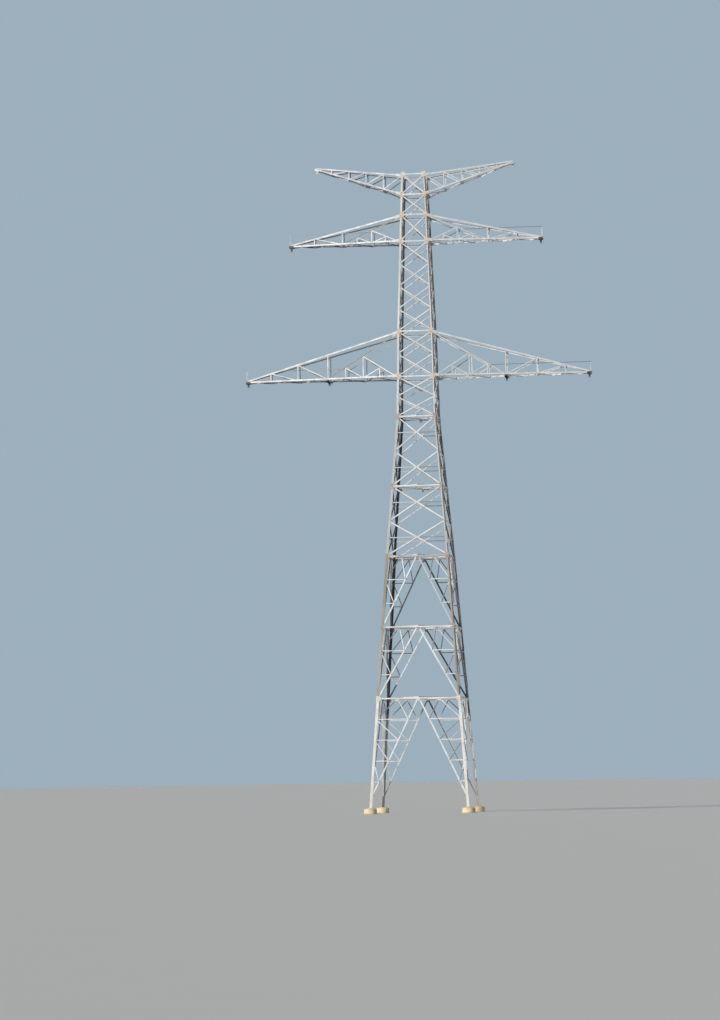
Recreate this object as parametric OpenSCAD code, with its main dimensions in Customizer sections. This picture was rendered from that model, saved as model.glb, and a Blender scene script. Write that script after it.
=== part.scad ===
// Lattice transmission pylon at 1:10, all lengths in model millimetres.
// A square tapering body on four round concrete caps carries two levels of
// conductor arms and, at the top, a V-shaped pair of earth wire arms.
// X runs along the arms, the front face looks along -Y, Z is up from the ground.

/* [Body heights] */
// Height of the concrete caps above the ground
cap_h = 50; // [20:1:80]
// Height of the first belt
belt1_z = 1040; // [950:5:1150]
// Height of each lambda panel from the first belt up to the waist belt
lambda_h = 650; // [600:5:700]
// Height of each crossed panel from the waist belt up to the fourth belt
crossed_h = 645; // [600:5:700]
// Height from the fourth belt, where the body straightens, to the lower arms
shoulder_h = 370; // [340:5:400]
// Height of the lower arms where they meet the legs
lower_root_h = 420; // [380:5:450]
// Height of the body between the lower and the upper arms
neck_h = 840; // [780:5:900]
// Height of the upper arms where they meet the legs
upper_root_h = 250; // [230:5:270]
// Height of the body between the upper arms and the earth wire arms
collar_h = 190; // [170:5:210]
// Height of the earth wire arms where they meet the legs
peak_root_h = 190; // [170:5:210]
// Rise of the earth wire arms' tips above the tower top
peak_rise = 110; // [80:5:130]

/* [Body widths] */
// Width of the body at the ground, over the heels of the legs
base_w = 915; // [850:5:980]
// Width of the body at the waist
waist_w = 578; // [540:2:600]
// Width of the body at the fourth belt
bend_w = 363; // [350:1:380]
// Width of the body at the top of the lower arms
neck_w = 331; // [320:1:345]
// Width of the body at the tower top
top_w = 225; // [215:1:240]

/* [Arms] */
// Reach of the lower arms from the tower axis
lower_arm_reach = 1607; // [1500:1:1700]
// Distance of the lower arms' inner hangers from the tower axis
inner_hanger_x = 825; // [780:5:870]
// Reach of the upper arms from the tower axis
upper_arm_reach = 1184; // [1120:2:1240]
// Distance of the upper arms' main posts from the tower axis
upper_post_x = 676; // [640:2:710]
// Reach of the earth wire arms from the tower axis
peak_arm_reach = 934; // [880:1:970]
// Half of the spread between the two sides of an arm at its tip
tip_half = 17; // [16:1:20]
// Depth of an arm at its tip
tip_depth = 18; // [16:1:24]

/* [Steel sections] */
// Flange width of the legs below the waist
lower_leg_w = 24; // [22:1:26]
// Flange width of the legs from the waist to the fourth belt
middle_leg_w = 21; // [19:1:23]
// Flange width of the legs above the fourth belt
upper_leg_w = 18; // [16:1:20]
// Thickness of the leg angles
leg_t = 2.2; // [1.8:0.1:2.6]
// Flange width of the belts
belt_w = 12; // [10:1:14]
// Flange width of the main diagonals below the waist
main_w = 14; // [12:1:16]
// Flange width of the crossed diagonals from the waist to the fourth belt
cross_w = 12; // [10:1:13]
// Flange width of the crossed diagonals above the fourth belt
slim_w = 10; // [8:1:11]
// Thickness of the belts and the main and crossed diagonals
bar_t = 1.6; // [1.4:0.1:2]
// Flange width of the secondary bars
light_w = 8; // [6:1:9]
// Thickness of the secondary bars
light_t = 1; // [0.8:0.1:1.2]
// Flange width of the arm chords
chord_w = 14; // [12:1:15]
// Flange width of the posts and diagonals in the arms
web_w = 8; // [6:1:9]
// Thickness of the gusset plates
plate_t = 1.4; // [1:0.1:2]

/* [Fittings] */
// Diameter of the concrete caps
cap_d = 118; // [90:2:130]
// Diameter of the hanger bores
hanger_bore = 8; // [6:0.5:9]
// Length of the leg splice covers
splice_len = 110; // [80:5:130]
// Diameter of the handrails
rail_d = 4; // [3:0.5:5]
// Height of the handrails above the floor of the lower arms
lower_rail_h = 108; // [90:1:120]
// Height of the handrails above the floor of the upper arms
upper_rail_h = 118; // [100:1:125]

/* [Hidden] */
// Clearance between pieces that are bolted face to face
gap = 0.3;
// Depth by which bars of one frame sink into each other where they are joined
lap = 0.35;
// Width of the chamfer around the top of a concrete cap
cap_chamfer = 16;
// Rise from the ground to the foot of the lowest main diagonals
foot_rise = 158;
// Height of the secondary bays in the lowest panel, and their number
low_bay = 188;
low_bays = 4;
// Number of secondary bays in the second and third panels
panel_bays = 3;
// Inset of the bars' ends from the heels of the legs
end_inset = 9;
// Distance of the bars' ends above and below the joint that they share
joint_step = 5;
// Distance of the main diagonals' upper ends from the middle of the face
apex_gap = 8;
// Distance by which a belt's shelf ends short of the gusset plates
belt_cope = 2;
// Distance by which a secondary bar's outward flange stops short of legs and plates
flange_cope = 2;
// Half height of the gusset plates
plate_half = 24;
// Width of the gusset plates
plate_w = 40;
// Length of the wings with which the gussets follow an arm's chords
wing_l = 42;
// Edge of a wing beyond the chord, and its overlap with the gusset at the leg
wing_edge = 5;
wing_lap = 1.2;
// Half length and height of the plates at the middle and quarter points of belts
mid_plate_half = 14;
mid_plate_h = 26;
// Depth of those plates' lower edge below the middle of the belt
mid_plate_drop = mid_plate_h + bar_t + gap - belt_w / 2;
// Clearance of the ends of an arm's posts and diagonals above its bottom chord
end_clear = 1;
// Shares of an arm's height at which its posts and its diagonals end at the top
post_top = 0.97;
diagonal_top = 0.93;
// Share of its way to the leg at which an arm's long diagonal ends
long_end = 0.98;
// Height of an arm's innermost small post against the middle one
small_post_share = 0.38;
// Shares of the way from the main post to the tip at which the outer posts stand
LOWER_POST_SHARES = [0.364, 0.694];
UPPER_POST_SHARES = [0.522];
// Number of bays in an earth wire arm
peak_bays = 5;
// Number of zigzag bays between the leg and the main post
inner_bays = 3;
// Length of the cheek plates of the tip hangers
cheek_l = 42;
// Height of the plan bracing above the middle of its belt, on the belt's shelf
plan_rise = belt_w / 2 + gap;
// Depth of the hangers' floor plates below the bottom chords, clear of the bracing
hanger_low = light_w - lap + gap;
// Thickness of the hanger lugs, and their wall around the bore
lug_t = 4;
lug_wall = 5;
// Drop of the hanger bores below the floor plates, or below the beam inside
conductor_drop = 26;
inner_drop = 33;
peak_drop = 16;
// Size of a block that is larger than any frame that it trims
trim = 900;

// Levels of the belts and the arms, each from the one below it
belt2_z = belt1_z + lambda_h;
waist_z = belt2_z + lambda_h;
belt3_z = waist_z + crossed_h;
belt4_z = belt3_z + crossed_h;
lower_arm_z = belt4_z + shoulder_h;
lower_arm_top_z = lower_arm_z + lower_root_h;
upper_arm_z = lower_arm_top_z + neck_h;
upper_arm_top_z = upper_arm_z + upper_root_h;
peak_arm_z = upper_arm_top_z + collar_h;
top_z = peak_arm_z + peak_root_h;
peak_tip_z = top_z + peak_rise;
LAMBDA_LEVELS = [belt1_z, belt2_z, waist_z];
BELT_LEVELS = [belt1_z, belt2_z, waist_z, belt3_z, belt4_z];
ARM_LEVELS = [lower_arm_z, lower_arm_top_z, upper_arm_z, upper_arm_top_z, peak_arm_z, top_z];
// Crossed panels above the fourth belt: lower level, upper level, panels between
UPPER_PANELS = [
    [belt4_z, lower_arm_z, 2],
    [lower_arm_z, lower_arm_top_z, 2],
    [lower_arm_top_z, upper_arm_z, 4],
    [upper_arm_z, upper_arm_top_z, 1],
    [upper_arm_top_z, peak_arm_z, 1],
    [peak_arm_z, top_z, 1]
];

// Half width of the body at height z, over the heels of the legs
function half_w(z) = lookup(z, [
    [0, base_w], [waist_z, waist_w], [belt4_z, bend_w], [lower_arm_top_z, neck_w],
    [top_z, top_w]
]) / 2;
// Inward lean of a face between two heights
function lean(z0, z1) = (half_w(z0) - half_w(z1)) / (z1 - z0);
function mix(a, b, t) = a + (b - a) * t;
function unit(v) = v / norm(v);
// Outward normal of the front face between two heights
function face_normal(z0, z1) = unit([0, -1, lean(z0, z1)]);
// Point of the front face at x and height z, set back into the body by inset
function face_pt(x, z, inset) = [x, -half_w(z) + inset, z];
// Flange width of the leg at height z
function leg_w(z) = z < waist_z ? lower_leg_w : z < belt4_z ? middle_leg_w : upper_leg_w;
// Stand-off of a flat plate that lies over the leg, more where the leg bends outward
function plate_seat(z) =
    gap + max(0, (half_w(z - plate_half) + half_w(z + plate_half)) / 2 - half_w(z));

// Section of an angle bar, its heel at the origin, the second flange along way * Y
module angle_section(w, t, way) {
    polygon([[0, 0], [w, 0], [w, way * t], [t, way * t], [t, way * w], [0, way * w]]);
}

// Puts its children on the line from p to q: Z along it, Y out along the normal
module on_line(p, q, normal) {
    along = unit(q - p);
    across = unit(cross(normal, along));
    out = cross(along, across);
    multmatrix([
        [across.x, out.x, along.x, p.x],
        [across.y, out.y, along.y, p.y],
        [across.z, out.z, along.z, p.z]
    ])
        children();
}

// Angle bar from p to q. One flange lies square to the normal, its outer face on
// the line; the other stands from its heel inward (way -1) or outward (way 1).
module angle_bar(p, q, normal, w, t, way = -1, centred = true) {
    on_line(p, q, normal)
        linear_extrude(norm(q - p))
            translate([centred ? -w / 2 : 0, 0]) angle_section(w, t, way);
}

// Angle bar in the front face from a to b, each given as [x, z]
module face_bar(a, b, inset, w, t) {
    angle_bar(
        face_pt(a.x, a.y, inset), face_pt(b.x, b.y, inset),
        face_normal(min(a.y, b.y) - 1, max(a.y, b.y) + 1), w, t
    );
}

// Secondary bar in the front face from a, its end on the right, to b. Its second
// flange stands outward along the upper edge and stops short of both ends.
module outward_bar(a, b, inset, short_a, short_b) {
    length = norm([b.x - a.x, half_w(a.y) - half_w(b.y), b.y - a.y]);
    on_line(
        face_pt(a.x, a.y, inset), face_pt(b.x, b.y, inset),
        face_normal(min(a.y, b.y) - 1, max(a.y, b.y) + 1)
    ) {
        translate([-light_w / 2, -light_t, 0]) cube([light_w, light_t, length]);
        translate([(lap - light_w) / 2, -light_t / 2, short_a])
            cube([light_t, light_w - light_t / 2, length - short_a - short_b]);
    }
}

// Puts its children on the front face: X along the face, Y up it, Z out of it
module on_face(x, z, inset) {
    out = face_normal(z - 1, z + 1);
    multmatrix([[1, 0, 0, x], [0, out.z, out.y, -half_w(z) + inset], [0, -out.y, out.z, z]])
        children();
}

// Keeps what lies within the front quarter of the body, clear of the next faces
module mitred() {
    intersection() {
        children();
        translate([0, -2 * gap, 0]) linear_extrude(top_z + trim)
            polygon([[0, 0], [-trim, -trim], [trim, -trim]]);
    }
}

module both_ways() {
    children();
    mirror([1, 0, 0]) children();
}

// Concrete cap with a chamfered rim, standing on the ground
module footing() {
    r = cap_d / 2;
    color("lightgray")
        rotate_extrude($fn = 48)
            polygon([
                [0, 0], [r, 0], [r, cap_h - cap_chamfer / 2], [r - cap_chamfer, cap_h], [0, cap_h]
            ]);
}

// Distance of a footing's centre from the tower axis, along X and along Y
footing_at = half_w(cap_h) - lower_leg_w / 3;

// Length of the front left leg between two heights
module leg_length(z0, z1, w) {
    angle_bar(
        [-half_w(z1), -half_w(z1), z1], [-half_w(z0), -half_w(z0), z0],
        face_normal(z0, z1), w, leg_t, -1, false
    );
}

// Front left leg in four lengths, which meet behind the gusset plates
module leg() {
    color("gainsboro") {
        difference() {
            leg_length(cap_h - lower_leg_w, waist_z - gap, lower_leg_w);
            translate([-trim, -trim, cap_h + gap - trim]) cube(trim);
        }
        leg_length(waist_z + gap, belt4_z - gap, middle_leg_w);
        leg_length(belt4_z + gap, lower_arm_top_z - gap, upper_leg_w);
        leg_length(lower_arm_top_z + gap, top_z, upper_leg_w);
    }
}

// Angle that covers a splice on the outside of the front left leg
module splice_cover(z) {
    z1 = z + splice_len;
    out = gap + plate_t;
    angle_bar(
        [-half_w(z1) - out, -half_w(z1) - out, z1], [-half_w(z) - out, -half_w(z) - out, z],
        face_normal(z, z1), leg_w(z) + out, plate_t, -1, false
    );
}

module leg_splices() {
    color("silver")
        for (turn = [0, 180]) rotate(turn) both_ways()
            for (z = [belt1_z, waist_z, belt4_z]) splice_cover(z + splice_len);
}

// Left half of a lambda panel: the main diagonal rises from the leg to the middle
// of the belt at z1, and secondary bars tie it to the leg at each level of bays.
module half_lambda(foot_z, z1, bays) {
    inset = leg_t + gap;
    foot = [-half_w(foot_z) + end_inset + main_w / 2, foot_z];
    apex = [-apex_gap, z1 - joint_step];
    // Height and place of the diagonal at level z
    function on_main(z) = [mix(foot.x, apex.x, (z - foot.y) / (apex.y - foot.y)), z];
    function on_leg(z) = [-half_w(z) + end_inset, z];
    quarter = [-half_w(z1) / 2, z1 - joint_step];
    // Lengths on the slant from a to b that clear the leg's flange and the belt's plate
    function past_leg(a, b) =
        (lower_leg_w - end_inset + light_w / 2 + flange_cope) * norm(b - a) / abs(b.x - a.x);
    function past_plate(a, b) =
        (mid_plate_drop - joint_step + light_w / 2 + flange_cope) * norm(b - a) / abs(b.y - a.y);
    face_bar(foot, apex, inset, main_w, bar_t);
    for (z = bays)
        face_bar(on_leg(z), on_main(z), inset + lap, light_w, light_t);
    for (i = [1 : len(bays) - 1]) {
        low = on_main(bays[i]);
        high = on_leg(bays[i - 1]);
        outward_bar(low, high, inset + lap / 2, 0, past_leg(low, high));
    }
    low = on_main(bays[0]);
    side = on_leg(bays[0]);
    outward_bar(low, quarter, inset + lap / 2, 0, past_plate(low, quarter));
    outward_bar(quarter, side, inset + lap, past_plate(quarter, side), past_leg(quarter, side));
}

module lower_bracing() {
    color("whitesmoke") mitred() both_ways() {
        half_lambda(foot_rise, belt1_z, [for (i = [1 : low_bays]) belt1_z - i * low_bay]);
        for (i = [0, 1]) {
            z0 = LAMBDA_LEVELS[i];
            z1 = LAMBDA_LEVELS[i + 1];
            bay = (z1 - z0) / panel_bays;
            half_lambda(z0 + 2 * joint_step, z1, [for (k = [1 : panel_bays - 1]) z1 - k * bay]);
        }
    }
}

// Crossed diagonals of one panel, the second lapped behind the first
module crossed_panel(z0, z1, w) {
    inset = leg_t + gap;
    low = z0 + joint_step;
    high = z1 - joint_step;
    x0 = half_w(low) - end_inset;
    x1 = half_w(high) - end_inset;
    face_bar([-x0, low], [x1, high], inset, w, bar_t);
    face_bar([-x1, high], [x0, low], inset + bar_t - lap, w, bar_t);
}

// Height where the crossed diagonals of a panel meet
function crossing(z0, z1) =
    mix(z0, z1, half_w(z0) / (half_w(z0) + half_w(z1)));

module middle_bracing() {
    color("whitesmoke") mitred()
        for (level = [[waist_z, belt3_z], [belt3_z, belt4_z]]) {
            step = (level[1] - level[0]) / 2;
            for (z = [level[0], level[0] + step]) {
                mid = crossing(z, z + step);
                x = half_w(mid) - end_inset;
                crossed_panel(z, z + step, cross_w);
                face_bar([-x, mid], [x, mid], leg_t + gap + lap, light_w, light_t);
            }
        }
}

module upper_bracing() {
    color("whitesmoke") mitred()
        for (level = UPPER_PANELS) {
            step = (level[1] - level[0]) / level[2];
            for (i = [0 : level[2] - 1])
                crossed_panel(level[0] + i * step, level[0] + (i + 1) * step, slim_w);
        }
}

// Plate with clipped corners on the outside of the front left leg at height z
module leg_gusset(z) {
    clip = plate_w / 3;
    on_face(-half_w(z), z, -plate_seat(z))
        linear_extrude(plate_t)
            polygon([
                [0, -plate_half], [plate_w - clip, -plate_half], [plate_w, -plate_half + clip],
                [plate_w, plate_half - clip], [plate_w - clip, plate_half], [0, plate_half]
            ]);
}

// Plate at x behind a belt and below it, thick enough to fill the leg flange's layer
module belt_plate(x, z) {
    on_face(x, z, leg_t)
        linear_extrude(leg_t + plate_seat(z) + plate_t)
            translate([-mid_plate_half, -mid_plate_drop])
                square([2 * mid_plate_half, mid_plate_h]);
}

// Puts its children on the front side of an arm at root: X outward along the arm,
// Y up the side, Z out of it
module on_side(arm, root) {
    out = side_normal(arm);
    across = unit(cross([0, 0, 1], out));
    up = cross(out, across);
    multmatrix([
        [across.x, up.x, out.x, root.x],
        [across.y, up.y, out.y, root.y],
        [across.z, up.z, out.z, root.z]
    ])
        children();
}

// Wing of a gusset along a chord of the right arm: it starts at the leg's heel at
// root and follows the arm's front side out. The chord lies above its heel line
// (way 1) or below it (way -1) and rises by slope for each millimetre out.
module arm_wing(arm, root, slope, way) {
    end = slope * wing_l;
    on_side(arm, root) translate([0, 0, gap])
        linear_extrude(plate_t)
            polygon([
                [-wing_lap, -way * wing_edge], [wing_l, end - way * wing_edge],
                [wing_l, end + way * (chord_w + wing_edge)], [-wing_lap, way * plate_half]
            ]);
}

// Front gussets of an arm at one leg, with their wings along both chords
module arm_gussets(arm) {
    low = low_pt(arm, half_w(arm[0]));
    high = high_pt(arm, half_w(arm[1]));
    leg_gusset(arm[0]);
    leg_gusset(arm[1]);
    mirror([1, 0, 0]) {
        arm_wing(arm, low, floor_rise(arm), 1);
        arm_wing(arm, high, (arm[3] + tip_depth - arm[1]) / (arm[2] - high.x), -1);
    }
}

// Gussets of the belts, and on the front and the back those of the arms too
module face_gussets(with_arms) {
    color("tan") {
        both_ways() {
            for (z = BELT_LEVELS) leg_gusset(z);
            for (z = LAMBDA_LEVELS) belt_plate(half_w(z) / 2, z);
            if (with_arms) for (arm = [LOWER_ARM, UPPER_ARM, PEAK_ARM]) arm_gussets(arm);
        }
        for (z = BELT_LEVELS) belt_plate(0, z);
    }
}

// Belt on the outside of the front face. Its shelf points inward at the top, between
// the gusset plates, and the plan bracing rests on it.
module outer_belt(z) {
    x = half_w(z);
    shelf_x = x - plate_w - belt_cope;
    on_face(0, z, -plate_seat(z) - plate_t - gap) {
        translate([-x, -belt_w / 2, 0]) cube([2 * x, belt_w, bar_t]);
        translate([-shelf_x, belt_w / 2 - bar_t, bar_t - belt_w])
            cube([2 * shelf_x, bar_t, belt_w]);
    }
}

// Belt between the legs of the front face, its shelf outward
module inner_belt(z) {
    x = half_w(z) - upper_leg_w - gap;
    heel_z = z + belt_w / 2;
    angle_bar(
        [x, -half_w(z) + bar_t, heel_z], [-x, -half_w(z) + bar_t, heel_z],
        face_normal(z - 1, z + 1), belt_w, bar_t, 1, false
    );
}

module belts(levels) {
    color("whitesmoke")
        for (turn = [0 : 90 : 270], z = levels) rotate(turn) outer_belt(z);
}

module arm_belts() {
    color("whitesmoke") for (z = ARM_LEVELS) {
        for (turn = [0, 180]) rotate(turn) outer_belt(z);
        for (turn = [90, 270]) rotate(turn) inner_belt(z);
    }
}

// Angle bar of the plan bracing at height z, from the middle of the front belt to
// the middle of the right belt, its ends cut to meet the next bars
module plan_bar(z) {
    corner = half_w(z) - leg_t - gap;
    translate([0, 0, z + plan_rise]) {
        linear_extrude(light_t)
            polygon([
                [gap, gap - corner], [corner - gap, -gap],
                [corner - gap - light_w, -gap], [gap, gap - corner + light_w]
            ]);
        linear_extrude(light_w)
            polygon([
                [gap, gap - corner], [corner - gap, -gap],
                [corner - gap - light_t, -gap], [gap, gap - corner + light_t]
            ]);
    }
}

module plan_bracing() {
    color("gainsboro")
        for (z = BELT_LEVELS, turn = [0 : 90 : 270]) rotate(turn) plan_bar(z);
}

// An arm is [bottom root height, top root height, reach, bottom tip height]
LOWER_ARM = [lower_arm_z, lower_arm_top_z, lower_arm_reach, lower_arm_z];
UPPER_ARM = [upper_arm_z, upper_arm_top_z, upper_arm_reach, upper_arm_z];
PEAK_ARM = [peak_arm_z, top_z, peak_arm_reach, peak_tip_z - tip_depth];

// Share of the way from the leg at height root_z to the tip at distance x
function arm_share(arm, root_z, x) = (x - half_w(root_z)) / (arm[2] - half_w(root_z));
// Heel lines of the front bottom chord and the front top chord at distance x
function low_pt(arm, x) =
    let (t = arm_share(arm, arm[0], x))
    [x, mix(-half_w(arm[0]), -tip_half, t), mix(arm[0], arm[3], t)];
function high_pt(arm, x) =
    let (t = arm_share(arm, arm[1], x))
    [x, mix(-half_w(arm[1]), -tip_half, t), mix(arm[1], arm[3] + tip_depth, t)];
// Height of an arm at distance x, over the heels of its chords
function arm_h(arm, x) = high_pt(arm, x).z - low_pt(arm, x).z;
// Rise of an arm's floor for each millimetre out, and its spread for each one in
function floor_rise(arm) = (arm[3] - arm[0]) / (arm[2] - half_w(arm[0]));
function floor_spread(arm) = (half_w(arm[0]) - tip_half) / (arm[2] - half_w(arm[0]));
// Outward normal of the front side of an arm
function side_normal(arm) =
    let (a = low_pt(arm, half_w(arm[0])))
    unit(cross(low_pt(arm, arm[2]) - a, high_pt(arm, half_w(arm[1])) - a));
// Point on the front side at distance x, s of the way up, set back by inset
function side_pt(arm, x, s, inset) =
    mix(low_pt(arm, x), high_pt(arm, x), s) - inset * side_normal(arm);

// Removes from an arm what would reach into the legs
module clear_of_legs(arm) {
    difference() {
        children();
        rotate(90) on_face(0, mix(arm[0], arm[1], 0.5), -gap)
            translate([-trim / 2, -trim, -trim / 4]) cube([trim, 2 * trim, trim / 4]);
    }
}

// Depth of the layer in which the webs lie behind the bottom chord's flange, and
// the thickness of the webs
web_inset = bar_t + gap;
web_t = light_t + lap;

// Bottom chords of the right arm, with cross bars at the posts and a zigzag
// between the stations, under the chords
module arm_floor(arm, posts, stations) {
    root = half_w(arm[0]) - chord_w;
    inner = chord_w / 2;
    up = unit(cross([1, 0, floor_rise(arm)], [0, 1, 0]));
    function floor_pt(x, way, depth) =
        let (p = low_pt(arm, x)) [x, way * (-p.y - inner), p.z + depth];
    color("whitesmoke") clear_of_legs(arm) {
        for (flip = [0, 1]) mirror([0, flip, 0])
            angle_bar(
                low_pt(arm, root), low_pt(arm, arm[2]), side_normal(arm), chord_w, bar_t,
                -1, false
            );
        for (x = posts)
            angle_bar(floor_pt(x, -1, lap), floor_pt(x, 1, lap), up, light_w, light_t);
        for (i = [0 : len(stations) - 2]) {
            way = i % 2 == 0 ? -1 : 1;
            angle_bar(
                floor_pt(stations[i], way, lap / 2), floor_pt(stations[i + 1], -way, lap / 2),
                up, light_w, light_t
            );
        }
    }
}

// Bar of the front side of an arm between two points given as [x, share of height],
// its standing flange inward (way -1) or outward (way 1)
module side_bar(arm, a, b, layer, w, way = -1) {
    inset = web_inset + layer * lap + (way > 0 ? web_t : 0);
    angle_bar(
        side_pt(arm, a.x, a.y, inset), side_pt(arm, b.x, b.y, inset), side_normal(arm),
        w, web_t, way
    );
}

// Long diagonal of a conductor arm, its standing flange outward at the top and cut
// back at both ends, clear of the bottom chord and of the gusset's wing
module long_diagonal(arm, a, b) {
    difference() {
        side_bar(arm, a, b, 1, web_w, 1);
        on_side(arm, low_pt(arm, half_w(arm[0])))
            translate([-trim, -trim, -web_inset - lap / 2]) {
                cube([3 * trim, trim + chord_w + end_clear, trim]);
                cube([trim + wing_l + end_clear, 2 * trim, trim]);
            }
    }
}

// Strut across the arm below the top chords and the ends of the diagonals, beside the
// standing flanges of the posts at x, on their outer side (way 1) or inner side (way -1)
module side_strut(arm, x, post_w, way) {
    // The standing flange is square to the side, so its tip lies further in than its heel
    flange = way > 0 ? 0 : web_t + post_w * side_normal(arm).x;
    strut_x = x + post_w / 2 - flange + way * gap;
    share = 1 - (chord_w + 2 * light_w) / arm_h(arm, x);
    p = side_pt(arm, strut_x, share, web_inset + web_t + gap);
    angle_bar([strut_x, p.y, p.z], [strut_x, -p.y, p.z], [-way, 0, 0], light_w, light_t);
}

// Share of the height at which a bar's end clears the bottom chord's floor flange
function above_chord(arm, x) = (bar_t + gap + end_clear) / arm_h(arm, x);

module top_chord(arm) {
    inset = web_inset - bar_t + lap;
    x_end = arm[2] - tip_depth;
    angle_bar(
        high_pt(arm, x_end) - inset * side_normal(arm),
        high_pt(arm, half_w(arm[1]) - chord_w) - inset * side_normal(arm),
        side_normal(arm), chord_w, bar_t, -1, false
    );
}

// Front side of a conductor arm: outer posts and falling diagonals, and inside
// the main post a long diagonal to the leg, propped at its middle
module conductor_arm_side(arm, main_x, outer) {
    root_low = half_w(arm[0]) + chord_w / 2;
    root_high = half_w(arm[1]) - chord_w / 2;
    posts = concat([main_x], outer);
    // Place on the long diagonal, t of the way from the main post to the leg
    function on_long(t) =
        let (x = mix(main_x, root_high, t)) [x, t * (arm[1] - arm[0] - chord_w) / arm_h(arm, x)];
    function foot(x) = [x, above_chord(arm, x)];
    mid = on_long(1 / 2);
    near = on_long(1 / 4);
    far = [mix(mid.x, root_low, 1 / 2), mid.y * small_post_share];
    top_chord(arm);
    for (x = posts)
        side_bar(arm, foot(x), [x, post_top], 0, web_w);
    for (i = [1 : len(posts) - 1])
        side_bar(arm, foot(posts[i - 1]), [posts[i], diagonal_top], 1, web_w);
    long_diagonal(arm, foot(main_x), on_long(long_end));
    side_bar(arm, mid, foot(root_low), 2, web_w);
    for (p = [mid, near, far])
        side_bar(arm, foot(p.x), p, 3, light_w);
    for (p = [near, far])
        side_bar(arm, foot(mid.x), p, 2, light_w);
}

module conductor_arm_sides(arm, main_x, outer) {
    color("whitesmoke") clear_of_legs(arm) {
        for (flip = [0, 1]) mirror([0, flip, 0]) conductor_arm_side(arm, main_x, outer);
        for (x = concat([main_x], outer)) side_strut(arm, x, web_w, 1);
    }
}

// Front side of an earth wire arm: posts, and diagonals that fall outward
module peak_arm_side(arm, posts) {
    tops = concat([half_w(arm[1])], posts);
    top_chord(arm);
    for (i = [0 : len(posts) - 1]) {
        foot = [posts[i], above_chord(arm, posts[i])];
        side_bar(arm, foot, [posts[i], post_top], 0, light_w);
        side_bar(arm, foot, [tops[i], diagonal_top], 1, light_w);
    }
}

module peak_arm_sides(arm, posts) {
    color("whitesmoke") clear_of_legs(arm) {
        for (flip = [0, 1]) mirror([0, flip, 0]) peak_arm_side(arm, posts);
        for (x = posts) side_strut(arm, x, light_w, -1);
    }
}

// Posts of the arms outside the main post, and of the earth wire arms
lower_posts = [for (t = LOWER_POST_SHARES) mix(inner_hanger_x, lower_arm_reach, t)];
upper_posts = [for (t = UPPER_POST_SHARES) mix(upper_post_x, upper_arm_reach, t)];
peak_posts = [
    for (i = [1 : peak_bays - 1]) mix(half_w(peak_arm_z), peak_arm_reach, i / peak_bays)
];

// Stations of a floor's zigzag: the posts with the points halfway between them
function halved(list) = [
    for (i = [0 : 2 * len(list) - 2])
        i % 2 == 0 ? list[i / 2] : (list[(i - 1) / 2] + list[(i + 1) / 2]) / 2
];

// Floor of a conductor arm, its zigzag closer outside the main post
module conductor_arm_floor(arm, main_x, outer) {
    root = half_w(arm[0]) + chord_w;
    posts = concat([main_x], outer, [arm[2] - tip_half]);
    arm_floor(arm, posts, concat(
        [for (i = [0 : inner_bays]) mix(root, main_x, i / (inner_bays + 1))], halved(posts)
    ));
}

module peak_arm_floor() {
    root = half_w(peak_arm_z) + chord_w;
    posts = concat(peak_posts, [peak_arm_reach - tip_half]);
    arm_floor(PEAK_ARM, posts, concat([root], posts));
}

// Lug with a bore along Y at the origin, round below it and reaching up by rise
module lug(rise) {
    r = hanger_bore / 2 + lug_wall;
    rotate([90, 0, 0]) difference() {
        union() {
            translate([-r, 0, -lug_t / 2]) cube([2 * r, rise, lug_t]);
            translate([0, 0, -lug_t / 2]) cylinder(h = lug_t, r = r, $fn = 32);
        }
        translate([0, 0, -lug_t]) cylinder(h = 2 * lug_t, d = hanger_bore, $fn = 32);
    }
}

// Hanger at an arm's tip: cheek plates outside the chords, a floor plate below
// them, and a lug whose bore lies drop below the floor plate
module tip_hanger(arm, drop) {
    tilt = atan(floor_rise(arm));
    half = tip_half + gap + plate_t;
    inner_half = half + floor_spread(arm) * cheek_l;
    translate([arm[2], 0, arm[3]]) {
        for (flip = [0, 1]) mirror([0, flip, 0])
            translate([0, -tip_half, 0]) rotate([0, -tilt, atan(floor_spread(arm))])
                translate([-cheek_l, -gap - plate_t, -hanger_low - plate_t / 2])
                    cube([cheek_l, plate_t, hanger_low + plate_t / 2 + chord_w]);
        rotate([0, -tilt, 0]) translate([0, 0, -hanger_low - plate_t])
            linear_extrude(plate_t)
                polygon([[0, -half], [0, half], [-cheek_l, inner_half], [-cheek_l, -inner_half]]);
        difference() {
            translate([-cheek_l / 2, 0, -floor_rise(arm) * cheek_l / 2 - hanger_low - drop])
                lug(drop + plate_t);
            rotate([0, -tilt, 0])
                translate([-2 * cheek_l, -half, -hanger_low - plate_t / 2])
                    cube([3 * cheek_l, 2 * half, cheek_l]);
        }
    }
}

// Hanger under the lower arm: a beam below both chords and a lug at its middle
module inner_hanger() {
    half = -low_pt(LOWER_ARM, inner_hanger_x).y + 2 * plate_t;
    translate([inner_hanger_x, 0, lower_arm_z - hanger_low]) {
        translate([-chord_w, -half, -bar_t]) cube([2 * chord_w, 2 * half, bar_t]);
        for (side = [-1, 1])
            translate([side * (chord_w - bar_t / 2) - bar_t / 2, -half, -chord_w])
                cube([bar_t, 2 * half, chord_w]);
        translate([0, 0, -inner_drop]) lug(inner_drop - bar_t / 2);
    }
}

module conductor_hangers() {
    color("tan") for (turn = [0, 180]) rotate(turn) {
        tip_hanger(LOWER_ARM, conductor_drop);
        tip_hanger(UPPER_ARM, conductor_drop);
        inner_hanger();
    }
}

module earth_wire_hangers() {
    color("tan") for (turn = [0, 180]) rotate(turn) tip_hanger(PEAK_ARM, peak_drop);
}

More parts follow.
